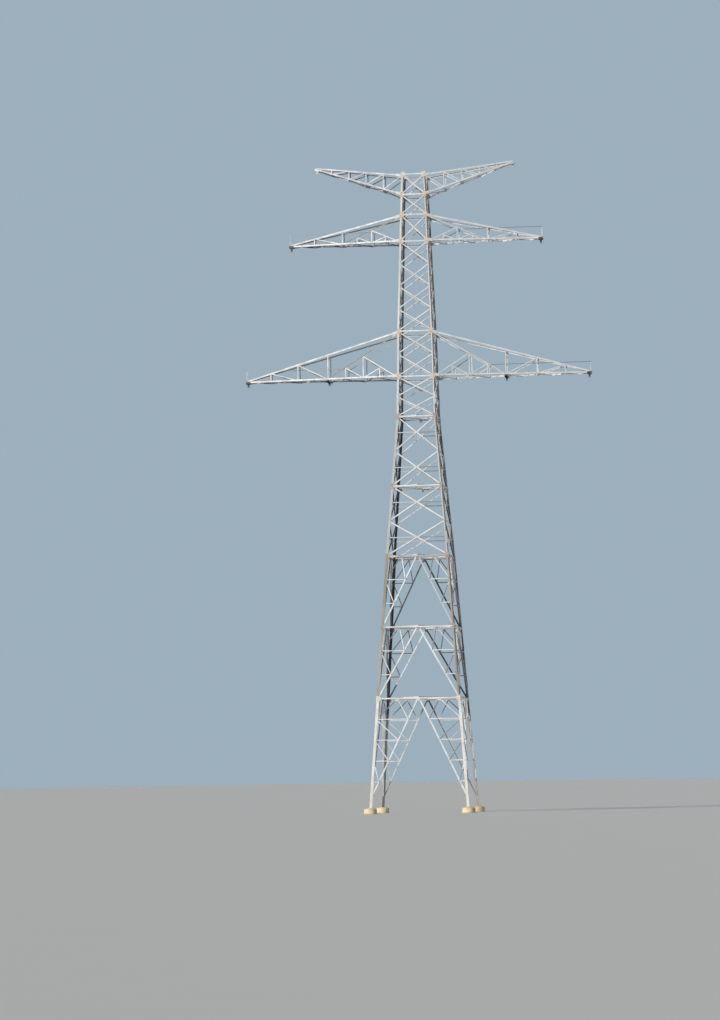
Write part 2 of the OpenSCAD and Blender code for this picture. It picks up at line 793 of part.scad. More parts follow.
// Rail along the middle of an arm, from a post at the tip to x_in
module handrail(arm, x_in, height) {
    post_x = arm[2] - tip_half / 2;
    base_z = arm[0] + bar_t + gap;
    translate([post_x, 0, base_z]) {
        translate([-tip_half / 2, -tip_half / 2, 0]) cube([tip_half, tip_half, plate_t]);
        cylinder(h = height - bar_t - gap, d = rail_d, $fn = 8);
    }
    translate([x_in, 0, arm[0] + height - rail_d / 2]) rotate([0, 90, 0])
        cylinder(h = post_x - rail_d / 2 - gap - x_in, d = rail_d, $fn = 8);
}

module handrails() {
    color("silver") for (turn = [0, 180]) rotate(turn) {
        handrail(LOWER_ARM, mix(inner_hanger_x, half_w(lower_arm_top_z), 1 / 4), lower_rail_h);
        handrail(UPPER_ARM, mix(upper_post_x, half_w(upper_arm_top_z), 1 / 2), upper_rail_h);
    }
}

translate([-footing_at, -footing_at, 0]) footing();  // front_left_footing
translate([footing_at, -footing_at, 0]) footing();  // front_right_footing
translate([-footing_at, footing_at, 0]) footing();  // back_left_footing
translate([footing_at, footing_at, 0]) footing();  // back_right_footing
leg();  // front_left_leg
mirror([1, 0, 0]) leg();  // front_right_leg
mirror([0, 1, 0]) leg();  // back_left_leg
rotate(180) leg();  // back_right_leg
leg_splices();
lower_bracing();  // front_lower_bracing
rotate(90) lower_bracing();  // right_lower_bracing
rotate(180) lower_bracing();  // back_lower_bracing
rotate(270) lower_bracing();  // left_lower_bracing
middle_bracing();  // front_middle_bracing
rotate(90) middle_bracing();  // right_middle_bracing
rotate(180) middle_bracing();  // back_middle_bracing
rotate(270) middle_bracing();  // left_middle_bracing
upper_bracing();  // front_upper_bracing
rotate(90) upper_bracing();  // right_upper_bracing
rotate(180) upper_bracing();  // back_upper_bracing
rotate(270) upper_bracing();  // left_upper_bracing
face_gussets(true);  // front_gussets
rotate(90) face_gussets(false);  // right_gussets
rotate(180) face_gussets(true);  // back_gussets
rotate(270) face_gussets(false);  // left_gussets
belts([belt1_z, belt2_z]);  // lower_belts
belts([waist_z]);  // waist_belt
belts([belt3_z, belt4_z]);  // upper_belts
arm_belts();
plan_bracing();
conductor_arm_floor(LOWER_ARM, inner_hanger_x, lower_posts);  // lower_right_arm_floor
rotate(180) conductor_arm_floor(LOWER_ARM, inner_hanger_x, lower_posts);  // lower_left_arm_floor
conductor_arm_floor(UPPER_ARM, upper_post_x, upper_posts);  // upper_right_arm_floor
rotate(180) conductor_arm_floor(UPPER_ARM, upper_post_x, upper_posts);  // upper_left_arm_floor
peak_arm_floor();  // peak_right_arm_floor
rotate(180) peak_arm_floor();  // peak_left_arm_floor
conductor_arm_sides(LOWER_ARM, inner_hanger_x, lower_posts);  // lower_right_arm_sides
rotate(180) conductor_arm_sides(LOWER_ARM, inner_hanger_x, lower_posts);  // lower_left_arm_sides
conductor_arm_sides(UPPER_ARM, upper_post_x, upper_posts);  // upper_right_arm_sides
rotate(180) conductor_arm_sides(UPPER_ARM, upper_post_x, upper_posts);  // upper_left_arm_sides
peak_arm_sides(PEAK_ARM, peak_posts);  // peak_right_arm_sides
rotate(180) peak_arm_sides(PEAK_ARM, peak_posts);  // peak_left_arm_sides
conductor_hangers();
earth_wire_hangers();
handrails();
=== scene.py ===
"""Finishes, bolts and fittings of a lattice transmission pylon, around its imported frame."""
import itertools
import math
import random

import bpy
import numpy as np
from bpy.props import FloatProperty, FloatVectorProperty, PointerProperty
from mathutils import Matrix, Vector
from mathutils.bvhtree import BVHTree


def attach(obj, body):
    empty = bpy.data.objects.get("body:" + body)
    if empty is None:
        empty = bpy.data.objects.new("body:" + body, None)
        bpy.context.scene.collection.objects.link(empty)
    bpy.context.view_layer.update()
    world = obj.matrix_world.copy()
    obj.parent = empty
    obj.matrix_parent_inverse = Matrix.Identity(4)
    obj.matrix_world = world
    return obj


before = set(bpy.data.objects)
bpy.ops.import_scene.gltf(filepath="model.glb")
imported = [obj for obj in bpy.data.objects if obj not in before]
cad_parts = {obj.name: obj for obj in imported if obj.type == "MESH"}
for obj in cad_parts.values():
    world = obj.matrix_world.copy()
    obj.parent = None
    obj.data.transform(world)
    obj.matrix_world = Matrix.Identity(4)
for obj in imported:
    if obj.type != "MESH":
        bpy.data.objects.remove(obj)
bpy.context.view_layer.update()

bl_info = {
    "name": "Lattice transmission pylon",
    "version": (1, 0, 0),
    "blender": (4, 5, 0),
    "location": "View3D > Sidebar > Pylon",
    "description": "Finishes, bolts, small fittings and studio stage of a 1:10 lattice pylon",
    "category": "Object",
}

MM = 0.001

# Sizes of the frame in model millimetres, the same as in the part's source
CAP_H, CAP_D = 50, 118
BELT_LEVELS = [1040, 1690, 2340, 2985, 3630]
FIRST_BELT_Z, WAIST_Z, BEND_Z = BELT_LEVELS[0], BELT_LEVELS[2], BELT_LEVELS[4]
ARM_LEVELS = [4000, 4420, 5260, 5510, 5700]
LOWER_ROOT_Z, LOWER_TOP_Z, UPPER_ROOT_Z, UPPER_TOP_Z, PEAK_ROOT_Z = ARM_LEVELS
TOP_PLATE_Z, TOP_Z = 5868, 5890
BODY_WIDTHS = [(0, 915), (WAIST_Z, 578), (BEND_Z, 363), (LOWER_TOP_Z, 331), (TOP_Z, 225)]
UPPER_LEVELS, UPPER_COUNTS = [BEND_Z, *ARM_LEVELS, TOP_Z], [2, 2, 4, 1, 1, 1]
LOWER_LEG_W, MIDDLE_LEG_W, UPPER_LEG_W, LEG_T = 24, 21, 18, 2.2
MAIN_W, LIGHT_W, CHORD_W, BAR_T, PLATE_T = 14, 8, 14, 1.6, 1.4
GAP = 0.3
WEB_LIFT = BAR_T + GAP + 1
FOOT_RISE, LOW_BAY, END_INSET, JOINT_STEP, APEX_GAP = 158, 188, 9, 5, 8
SPLICE_LEN, TIP_HALF, TIP_DEPTH = 110, 17, 18
RAIL_D, LOWER_RAIL_H, UPPER_RAIL_H = 4, 108, 118
FACE_TURNS = {"front": 0, "right": 90, "back": 180, "left": 270}
UP = Vector((0, 0, 1))


def mix(a, b, t):
    return a + (b - a) * t


def half_w(z):
    """Half width of the body at height z, over the heels of the legs."""
    heights, widths = zip(*BODY_WIDTHS)
    return float(np.interp(z, heights, widths)) / 2


def leg_w(z):
    return LOWER_LEG_W if z < WAIST_Z else MIDDLE_LEG_W if z < BEND_Z else UPPER_LEG_W


def face_normal(z0, z1):
    """Outward normal of the front face between two heights."""
    return Vector((0, -1, (half_w(z0) - half_w(z1)) / (z1 - z0))).normalized()


def face_point(x, z):
    """Point on the outer face of the front, in millimetres."""
    return Vector((x, -half_w(z), z))


def face_up(normal):
    """Direction up the leaning front face with this normal."""
    return Vector((0, normal.z, -normal.y))


def turned(degrees):
    return Matrix.Rotation(math.radians(degrees), 3, "Z")


class Arm:
    """Heel lines of one right-hand arm, front side, in millimetres."""

    def __init__(self, root_z, top_z, reach, tip_z):
        self.root_z, self.top_z, self.reach, self.tip_z = root_z, top_z, reach, tip_z
        start = self.low(half_w(root_z))
        out = (self.low(reach) - start).cross(self.high(half_w(top_z)) - start)
        self.normal = out.normalized()

    def heel(self, x, root_z, tip_z):
        """Point at x on the line from the body at one height to the tip at another."""
        t = (x - half_w(root_z)) / (self.reach - half_w(root_z))
        return Vector((x, mix(-half_w(root_z), -TIP_HALF, t), mix(root_z, tip_z, t)))

    def low(self, x):
        return self.heel(x, self.root_z, self.tip_z)

    def high(self, x):
        return self.heel(x, self.top_z, self.tip_z + TIP_DEPTH)

    def height(self, x):
        return self.high(x).z - self.low(x).z

    def side(self, x, s):
        """Point of the front side at x, s of the way up between the heel lines."""
        return self.low(x).lerp(self.high(x), s)

    def foot(self, x):
        """Low end of a web bar at x, as its x and its share of the height."""
        return x, WEB_LIFT / self.height(x)


LOWER_ARM = Arm(LOWER_ROOT_Z, LOWER_TOP_Z, 1607, LOWER_ROOT_Z)
UPPER_ARM = Arm(UPPER_ROOT_Z, UPPER_TOP_Z, 1184, UPPER_ROOT_Z)
PEAK_ARM = Arm(PEAK_ROOT_Z, TOP_Z, 934, 5982)
INNER_HANGER_X, UPPER_POST_X = 825, 676
LOWER_POSTS = [mix(INNER_HANGER_X, LOWER_ARM.reach, t) for t in (0.364, 0.694)]
UPPER_POSTS = [mix(UPPER_POST_X, UPPER_ARM.reach, 0.522)]
PEAK_POSTS = [mix(half_w(PEAK_ARM.root_z), PEAK_ARM.reach, i / 5) for i in range(1, 5)]


# Groups of settings that a user would change


def length_prop(name, description, default, **limits):
    return FloatProperty(
        name=name, description=description, default=default, unit="LENGTH", **limits)


def strength_prop(name, description, default):
    return FloatProperty(name=name, description=description, default=default, min=0)


def colour_prop(name, description, default):
    return FloatVectorProperty(
        name=name, description=description, default=default, subtype="COLOR", min=0, max=1)


class PylonFittings(bpy.types.PropertyGroup):
    """Sizes of the bolts and small fittings."""

    heavy_bolt: length_prop(
        "Heavy bolts", "Thread of the bolts at the legs and main bars", 0.0024,
        min=0.0016, max=0.003)
    medium_bolt: length_prop(
        "Medium bolts", "Thread of the bolts in belts and crossed bars", 0.002,
        min=0.0012, max=0.0026)
    light_bolt: length_prop(
        "Light bolts", "Thread of the bolts in the secondary bars", 0.0016,
        min=0.001, max=0.002)
    step_pitch: length_prop(
        "Step bolt pitch", "Height from one step bolt to the next", 0.036,
        min=0.025, max=0.05)
    step_reach: length_prop(
        "Step bolt length", "Length of a step bolt outside the leg", 0.015,
        min=0.01, max=0.02)


class PylonFinish(bpy.types.PropertyGroup):
    """Colours of the steel and the concrete."""

    zinc: colour_prop("Zinc", "Weathered zinc on the bracing", (0.84, 0.84, 0.83))
    zinc_dull: colour_prop(
        "Dull zinc", "Zinc that has turned matt and grey", (0.66, 0.67, 0.675))
    leg_foot: colour_prop(
        "Leg feet", "Cream zinc of the legs below the first belt", (0.86, 0.83, 0.76))
    leg: colour_prop(
        "Leg middle", "Taupe patina of the legs below the waist", (0.29, 0.265, 0.225))
    leg_waist: colour_prop(
        "Leg waist", "Cream grey patina of the legs above the waist", (0.58, 0.58, 0.545))
    leg_top: colour_prop(
        "Leg tops", "Pale patina of the legs beside the arms", (0.76, 0.76, 0.73))
    plate_foot: colour_prop(
        "Plate feet", "Cream zinc of the plates at the first belt", (0.84, 0.78, 0.68))
    plate: colour_prop(
        "Plate middle", "Brown patina of the plates below the arms", (0.37, 0.30, 0.22))
    plate_top: colour_prop(
        "Plate tops", "Tan patina of the plates at the arms", (0.70, 0.54, 0.38))
    plate_crown: colour_prop(
        "Plate crowns", "Cream patina of the plates at the tower top", (0.66, 0.64, 0.60))
    # Painted shade: the hangers under the arms get a near black tone for the shade they stand in
    hanger: colour_prop(
        "Hangers", "Dark patina of the hangers under the arms", (0.045, 0.04, 0.036))
    # Grime: real dirt in the streaks, and painted shade under the shelves of the arms, rails and
    # bolts and on the plates' undersides
    grime_and_shade: colour_prop("Grime", "Dirt in streaks and under the shelves", (0.16, 0.135, 0.11))
    # Painted shade, in a blue black tone, on the inner sides and the undersides of the steel
    shade: colour_prop(
        "Shade", "Blue black film on the inner sides and the undersides", (0.055, 0.06, 0.068))
    concrete: colour_prop("Concrete", "Pale concrete of the caps", (0.93, 0.78, 0.52))


class PylonStudio(bpy.types.PropertyGroup):
    """Camera, lamps and stage."""

    camera_distance: length_prop("Camera distance", "From the tower axis to the camera", 30.0)
    camera_height: length_prop("Camera height", "Above the floor", 0.333)
    camera_lens: FloatProperty(
        name="Lens", description="Focal length for a 36 mm frame height", default=115.32,
        unit="CAMERA")
    key_strength: strength_prop("Key light", "Strength of the soft sun", 3.1)
    fill_strength: strength_prop(
        "Fill light", "Strength of the soft fill from the right", 0.05)
    back_strength: strength_prop("Back light", "Strength of the soft light from behind", 0.3)
    ambient: strength_prop("Ambient", "Strength of the even light from all round", 0.11)
    floor_colour: colour_prop("Floor", "Plain pale floor", (0.78, 0.79, 0.79))
    backdrop_colour: colour_prop("Backdrop", "Plain pale backdrop", (0.335, 0.43, 0.505))


# Shader nodes


class Value:
    """A socket that Python arithmetic turns into Math nodes."""

    def __init__(self, graph, socket):
        self.graph, self.socket = graph, socket

    def _with(self, operation, *terms):
        sockets = dict(enumerate(terms))
        return self.graph.node("ShaderNodeMath", {"operation": operation}, sockets)

    def __add__(self, other):
        return self._with("ADD", self, other)

    def __radd__(self, other):
        return self._with("ADD", other, self)

    def __sub__(self, other):
        return self._with("SUBTRACT", self, other)

    def __rsub__(self, other):
        return self._with("SUBTRACT", other, self)

    def __mul__(self, other):
        return self._with("MULTIPLY", self, other)

    def __rmul__(self, other):
        return self._with("MULTIPLY", other, self)

    def __neg__(self):
        return self._with("MULTIPLY", self, -1)

    def size(self):
        return self._with("ABSOLUTE", self)

    def least(self, other):
        return self._with("MINIMUM", self, other)

    def clipped(self):
        return self._with("MINIMUM", self._with("MAXIMUM", self, 0), 1)


class Graph:
    """Node tree of one material or world, filled through one method."""

    BLEND = 0.03     # half the height over which one patina turns into the next

    def __init__(self, tree):
        self.tree = tree
        tree.nodes.clear()

    def node(self, kind, settings=None, sockets=None, output=0):
        """Adds a node: its settings first, then the values or links of its sockets."""
        node = self.tree.nodes.new(kind)
        for name, value in (settings or {}).items():
            setattr(node, name, value)
        for key, value in (sockets or {}).items():
            if isinstance(value, Value):
                self.tree.links.new(value.socket, node.inputs[key])
            else:
                node.inputs[key].default_value = value
        return Value(self, node.outputs[output]) if node.outputs else None

    def vector(self, operation, sockets, output=0):
        return self.node("ShaderNodeVectorMath", {"operation": operation}, sockets, output)

    def colour_mix(self, factor, a, b):
        sockets = {0: factor, 6: _rgba(a), 7: _rgba(b)}
        return self.node("ShaderNodeMix", {"data_type": "RGBA"}, sockets, 2)

    def scaled(self, colour, factor):
        """A colour or vector times a value."""
        return self.vector("SCALE", {0: colour, "Scale": factor})

    def part(self, vector, axis):
        """One of the three values of a vector or colour."""
        return self.node("ShaderNodeSeparateXYZ", None, {0: vector}, axis)

    def place(self, stretch=(1, 1, 1)):
        """Place on the piece in metres, stretched along each axis."""
        place = self.node("ShaderNodeTexCoord", output="Object")
        return self.vector("MULTIPLY", {0: place, 1: stretch})

    def along(self, axis):
        """Place on the piece in metres, along one axis."""
        return self.part(self.node("ShaderNodeTexCoord", output="Object"), axis)

    def height(self):
        return self.along("Z")

    def normal(self):
        return self.node("ShaderNodeNewGeometry", output="Normal")

    def noise(self, scale, detail=3, stretch=(1, 1, 1)):
        sockets = {
            "Vector": self.place(stretch), "Scale": scale, "Detail": detail, "Roughness": 0.55,
        }
        return self.node("ShaderNodeTexNoise", None, sockets)

    def cells(self, scale):
        """A random grey for each crystal of the zinc."""
        sockets = {"Vector": self.place(), "Scale": scale}
        return self.part(self.node("ShaderNodeTexVoronoi", None, sockets, "Color"), "X")

    def step(self, value, low, high):
        """Smooth rise from 0 at low to 1 at high."""
        settings = {"interpolation_type": "SMOOTHSTEP"}
        sockets = {"Value": value, "From Min": low, "From Max": high}
        return self.node("ShaderNodeMapRange", settings, sockets)

    def above(self, level):
        """1 above a height in metres, 0 below it."""
        return self.step(self.height(), level - self.BLEND, level + self.BLEND)

    def past(self, inward, lean):
        """How far a place is outside the leaning edge of the body."""
        half, level, taper = lean
        return inward + taper * (self.height() - level) - half

    def banded(self, colour, bands):
        """A colour that gives way to the patina of each band above its height."""
        for level, patina in bands:
            colour = self.colour_mix(self.above(level), colour, patina)
        return colour

    def painted_shade_rows(self, colour, levels, left, right):
        """Painted shade on the halves of level bars, darker on the right, clear of the middle.
        """
        x, height = self.along("X"), self.height()
        bars = sum(1 - self.step((height - z).size(), 0.004, 0.007) for z in levels)
        tone = self.colour_mix(self.step(x, -0.01, 0.01), left, right)
        return self.colour_mix(bars * self.step(x.size(), 0.016, 0.026), colour, tone)

    def belt_ends(self, colour, lean, patina, bands=()):
        """Patina on the ends of the belts, where they lie over the legs."""
        inward = self.along("X").size().least(self.along("Y").size())
        over_leg = self.step(self.past(inward, lean), -0.024, -0.019)
        return self.colour_mix(over_leg * 0.85, colour, self.banded(patina, bands))

    def worn_bar(self, colour, start, end, tone, half):
        """Painted light and shade: a tone on a bar between two places, each across and up the
        face.
        """
        (x0, z0), (x1, z1) = start, end
        x, height = self.along("X"), self.height()
        off = (x - (height - z0) * ((x1 - x0) / (z1 - z0)) - x0).size()
        between = self.step(height, z0, z0 + 0.02) * self.step(-height, -z1, 0.02 - z1)
        bar = (1 - self.step(off, half - 0.001, half + 0.001)) * between
        return self.colour_mix(bar, colour, tone)

    def facing_down(self):
        return (-self.part(self.normal(), "Z")).clipped()

    def facing_inward(self, axes):
        """1 on faces that look back at the middle of the tower, along the axes given."""
        normal = self.normal()
        outward = self.vector("NORMALIZE", {0: self.place(axes)})
        facing = self.vector("DOT_PRODUCT", {0: normal, 1: outward}, "Value")
        return self.step(-facing, 0.15, 0.6)

    def bumped(self, height, distance, strength):
        sockets = {"Strength": strength, "Distance": distance, "Height": height}
        return self.node("ShaderNodeBump", None, sockets)

    def finish(self, colour, roughness, metallic, normal, specular=0.5):
        sockets = {
            "Base Color": colour, "Roughness": roughness, "Metallic": metallic,
            "Normal": normal, "Specular IOR Level": specular,
        }
        shader = self.node("ShaderNodeBsdfPrincipled", None, sockets)
        self.node("ShaderNodeOutputMaterial", None, {"Surface": shader})


def _rgba(colour):
    return colour if isinstance(colour, Value) else (*colour, 1)


def toned(colour, share):
    return tuple(share * c for c in colour)


def material_graph(name):
    """Empty graph of a new material."""
    material = bpy.data.materials.new(name)
    material.use_nodes = True
    return Graph(material.node_tree)


def material_named(name):
    material = bpy.data.materials.get(name)
    if material is None:
        raise RuntimeError(f"the finish {name} hasn't been made yet")
    return material


# Heights in metres where the finishes change
# Over the foot and arm pairs the painted shade grows from its share near the ground and thins
# beside the arms
FOOT_FADE, ARM_FADE = (0.86, 0.94), (3.6, 4.0)
FOOT_PLATES_TOP, ARM_PLATES_FOOT, CROWN_PLATES_FOOT = 1.35, 3.8, 5.8

# Leaning edges of the body: half its width at a height, and its loss for each metre above
LOWER_LEAN = (0.289, 2.34, 0.072)
MIDDLE_LEAN = (0.1815, 3.63, 0.0833)
UPPER_LEAN = (0.174, 4, 0.0325)


def zinc_material(
    name, bright, dull, grime_and_shade, shade, dirt, bands=(), inner=0.0, axes=(1, 1, 0),
    metallic=0.25, below=0.5, low=1.0, high=1.0, rows=None, ends=None, worn_bars=(),
):
    """Weathered hot-dip zinc: crystals, matt patches, rain streaks, and painted shade below
    shelves.

    Each of the bands is a height in metres and the patina above it. The painted shade, in the
    colour called shade, lies by the share inner on the faces that look back at the middle of
    the tower along the axes, and by the share below on the undersides. Low is what is left of
    this painted shade near the ground, and high what is left of it beside the arms. Rows, ends
    and the last bars are what the Graph's methods for them take: rows paint shade on the halves
    of level bars, ends lay patina on the belts' ends, and each bar paints light and shade on one
    bar.
    """
    g = material_graph(name)
    crystals = g.cells(620)
    patches = g.step(g.noise(11, 4), 0.36, 0.66)
    streaks = g.step(g.noise(1, 4, (95, 95, 3.2)), 0.52, 0.74)
    freckles = g.step(g.noise(240, 2), 0.62, 0.78)
    colour = g.colour_mix(patches, dull, bright)
    for level, patina in bands:
        above = g.above(level)
        tone = g.step(g.noise(5, 3, (1, 1, 0.35)), 0.30, 0.62)
        colour = g.colour_mix(above * (0.55 + 0.4 * tone), colour, patina)
    colour = g.colour_mix(streaks * (0.42 * dirt), colour, grime_and_shade)
    # Painted shade on the halves of level bars, darker on the right
    if rows:
        colour = g.painted_shade_rows(colour, *rows)
    # Painted shade on the undersides and the inner sides: its share grows above the foot and
    # thins beside the arms
    shade_share = low + (1 - low) * g.step(g.height(), *FOOT_FADE) if low < 1 else 1
    if high < 1:
        shade_share = shade_share * (1 - (1 - high) * g.step(g.height(), *ARM_FADE))
    underside_shade = g.step(g.facing_down(), 0.2, 0.6) * below
    colour = g.colour_mix(underside_shade * shade_share, colour, shade)
    if inner:
        colour = g.colour_mix(g.facing_inward(axes) * inner * shade_share, colour, shade)
    if ends:
        colour = g.belt_ends(colour, *ends)
    # Painted light and shade on single bars
    for bar in worn_bars:
        colour = g.worn_bar(colour, *bar)
    colour = g.colour_mix(freckles * (0.3 * dirt), colour, grime_and_shade)
    colour = g.scaled(colour, 0.94 + 0.12 * crystals)
    roughness = 0.62 - 0.16 * patches + 0.1 * crystals + 0.15 * streaks
    grain = g.noise(900, 2)
    normal = g.bumped(0.6 * crystals + 0.4 * grain + 0.5 * streaks, 0.00012, 0.6)
    g.finish(colour, roughness.clipped(), metallic * (1 - 0.6 * streaks), normal)


def plate_material(name, tan, zinc, grime_and_shade, worn, bands=(), wings=None):
    """Gusset plates with a patina, worn patches, streaks and rust freckles.

    Each of the bands is a height in metres and the patina above it. Wings are the
    leaning edge, outside which the plates turn to zinc at the arms, and that zinc.
    """
    g = material_graph(name)
    crystals = g.cells(520)
    patches = g.step(g.noise(34, 4), 0.34, 0.7)
    streaks = g.step(g.noise(1, 4, (150, 150, 9)), 0.5, 0.72)
    freckles = g.step(g.noise(420, 2), 0.6, 0.74)
    tan = g.banded(tan, bands)
    if wings:
        lean, wing_tone = wings
        wing = g.step(g.past(g.along("X").size(), lean), 0.002, 0.008)
        at_arms = g.step(g.height(), ARM_PLATES_FOOT, ARM_PLATES_FOOT + 0.1)
        tan = g.colour_mix(wing * at_arms, tan, wing_tone)
    colour = g.colour_mix(patches * worn, tan, zinc)
    colour = g.colour_mix(streaks * 0.35, colour, grime_and_shade)
    colour = g.colour_mix(freckles * 0.35, colour, (0.34, 0.19, 0.10))
    # Painted shade on the faces that look down, in the grime colour
    colour = g.colour_mix(g.facing_down() * 0.5, colour, grime_and_shade)
    colour = g.scaled(colour, 0.92 + 0.14 * crystals)
    roughness = 0.68 - 0.14 * patches + 0.12 * streaks
    grain = g.noise(1100, 2)
    normal = g.bumped(0.5 * crystals + 0.5 * grain + 0.5 * freckles, 0.00014, 0.6)
    g.finish(colour, roughness.clipped(), 0.15 * (1 - streaks), normal)


def concrete_material(name, pale, grime_and_shade):
    """Cast concrete: pits, sand, pour marks, splashed soil near the ground."""
    g = material_graph(name)
    sand = g.noise(900, 4)
    clouds = g.step(g.noise(22, 5), 0.32, 0.68)
    pits = 1 - g.step(g.node("ShaderNodeTexVoronoi", None, {
        "Vector": g.place(), "Scale": 210, "Randomness": 1.0}), 0.05, 0.2)
    runs = g.step(g.noise(1, 4, (130, 130, 14)), 0.5, 0.72)
    splash = 1 - g.step(g.height() + 0.012 * g.noise(60, 3), 0.006, 0.016)
    dark = (pale[0] * 0.82, pale[1] * 0.80, pale[2] * 0.77)
    colour = g.colour_mix(clouds, dark, pale)
    colour = g.colour_mix(runs * 0.22, colour, (0.42, 0.38, 0.32))
    colour = g.colour_mix(pits * 0.5, colour, grime_and_shade)
    colour = g.colour_mix(splash * 0.5, colour, (0.38, 0.25, 0.16))
    colour = g.scaled(colour, 0.9 + 0.2 * sand)
    roughness = 0.82 + 0.12 * sand
    normal = g.bumped(0.5 * sand + 0.8 * clouds - 1.4 * pits, 0.0006, 0.8)
    g.finish(colour, roughness.clipped(), 0.0, normal, 0.3)


# Meshes


class Shell:
    """Points and faces of one piece, gathered in millimetres."""

    def __init__(self):
        self.points, self.faces, self.count = [], [], 0

    def add(self, points, faces, matrix):
        rows = np.array(matrix)
        self.points.append(np.asarray(points, float) @ rows[:3, :3].T + rows[:3, 3])
        self.faces.extend(tuple(self.count + i for i in face) for face in faces)
        self.count += len(points)

    def piece(self, name, finish, slot):
        mesh = bpy.data.meshes.new(name)
        mesh.from_pydata((np.concatenate(self.points) * MM).tolist(), [], self.faces)
        if mesh.validate():
            raise RuntimeError(f"{name}: its mesh had faults")
        mesh.materials.append(material_named(finish))
        obj = bpy.data.objects.new(name, mesh)
        bpy.context.scene.collection.objects.link(obj)
        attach(obj, "root")


def frame_at(origin, out, turn=0.0):
    """Matrix that puts local Z along out at origin, turned about it."""
    side = UP.cross(out)
    side = side.normalized() if side.length > 1e-3 else Vector((1, 0, 0))
    up = out.cross(side)
    rows = Matrix((side, up, out)).transposed() @ Matrix.Rotation(turn, 3, "Z")
    return Matrix.Translation(origin) @ rows.to_4x4()


def skinned(sections):
    """Closed solid through equal rings of points, from its first ring to its last."""
    n = len(sections[0])
    end = n * (len(sections) - 1)
    points = [tuple(point) for section in sections for point in section]
    faces = [tuple(reversed(range(n))), tuple(range(end, end + n))]
    faces += [
        (a + k, a + (k + 1) % n, a + n + (k + 1) % n, a + n + k)
        for a in range(0, end, n) for k in range(n)
    ]
    return points, faces


def rings(profile, sides):
    """Closed solid of rings (radius, height), bottom to top, with sides corners each."""
    angles = [2 * math.pi * k / sides for k in range(sides)]
    return skinned(
        [[(r * math.cos(a), r * math.sin(a), z) for a in angles] for r, z in profile])


def joined(solids):
    points, faces = [], []
    for part_points, part_faces in solids:
        start = len(points)
        points += part_points
        faces += [tuple(start + i for i in face) for face in part_faces]
    return points, faces


# Sizes of bolts: how deep a solid sinks into what it sits on, in millimetres, then
# washers' radius, hexagons' corners and the room behind a nut, in thread widths
SINK = 0.03
WASHER, CORNER, NUT_ROOM = 0.95, 0.866, 1.4


def washer(d):
    return rings([(WASHER * d, -SINK), (WASHER * d, 0.15 * d)], 10)


def hexagon(d, low, high, top, tip=0.76):
    """Hexagon from low to high that narrows to tip thread widths at its top."""
    return rings([(CORNER * d, low), (CORNER * d, high), (tip * d, top)], 6)


def bolt_head(d):
    """Washer and hexagon head on the outer face."""
    return joined([washer(d), hexagon(d, 0.15 * d - SINK, 0.68 * d, 0.78 * d)])


def bolt_nut(d):
    """Washer, nut and thread end on the inner face, upside down."""
    nut = hexagon(d, 0.15 * d - SINK, 0.9 * d, d)
    thread = rings([(0.46 * d, d - SINK), (0.46 * d, 1.25 * d), (0.36 * d, 1.33 * d)], 8)
    return joined([washer(d), nut, thread])


def box_solid(low, high):
    """Box with clipped long edges, for bars and small plates."""
    (x0, y0, z0), (x1, y1, z1) = low, high
    c = 0.18 * min(y1 - y0, z1 - z0)
    section = [
        (y0 + c, z0), (y1 - c, z0), (y1, z0 + c), (y1, z1 - c), (y1 - c, z1),
        (y0 + c, z1), (y0, z1 - c), (y0, z0 + c),
    ]
    return skinned([[(x, y, z) for y, z in section] for x in (x0, x1)])


def directions(path):
    """Direction of a path at each of its points."""
    ends = [path[0], *path, path[-1]]
    return [(after - before).normalized() for before, after in zip(ends, ends[2:])]


def strip(path, width_dir, width, thickness):
    """Flat strip of even thickness along a path, square to width_dir."""
    side = width_dir * (width / 2)
    sections = []
    for p, along in zip(path, directions(path)):
        rise = along.cross(width_dir).normalized() * thickness
        sections.append([p - side, p + side, p + side + rise, p - side + rise])
    return skinned(sections)


def tube(path, radius, sides):
    """Round bar along a path, with closed ends."""
    angles = [2 * math.pi * k / sides for k in range(sides)]
    side = Vector((0.31, 0.87, 0.39))
    sections = []
    for p, along in zip(path, directions(path)):
        side = (side - along * side.dot(along)).normalized()
        up = along.cross(side)
        sections.append(
            [p + radius * (math.cos(a) * side + math.sin(a) * up) for a in angles])
    return skinned(sections)


# Where the bolts sit


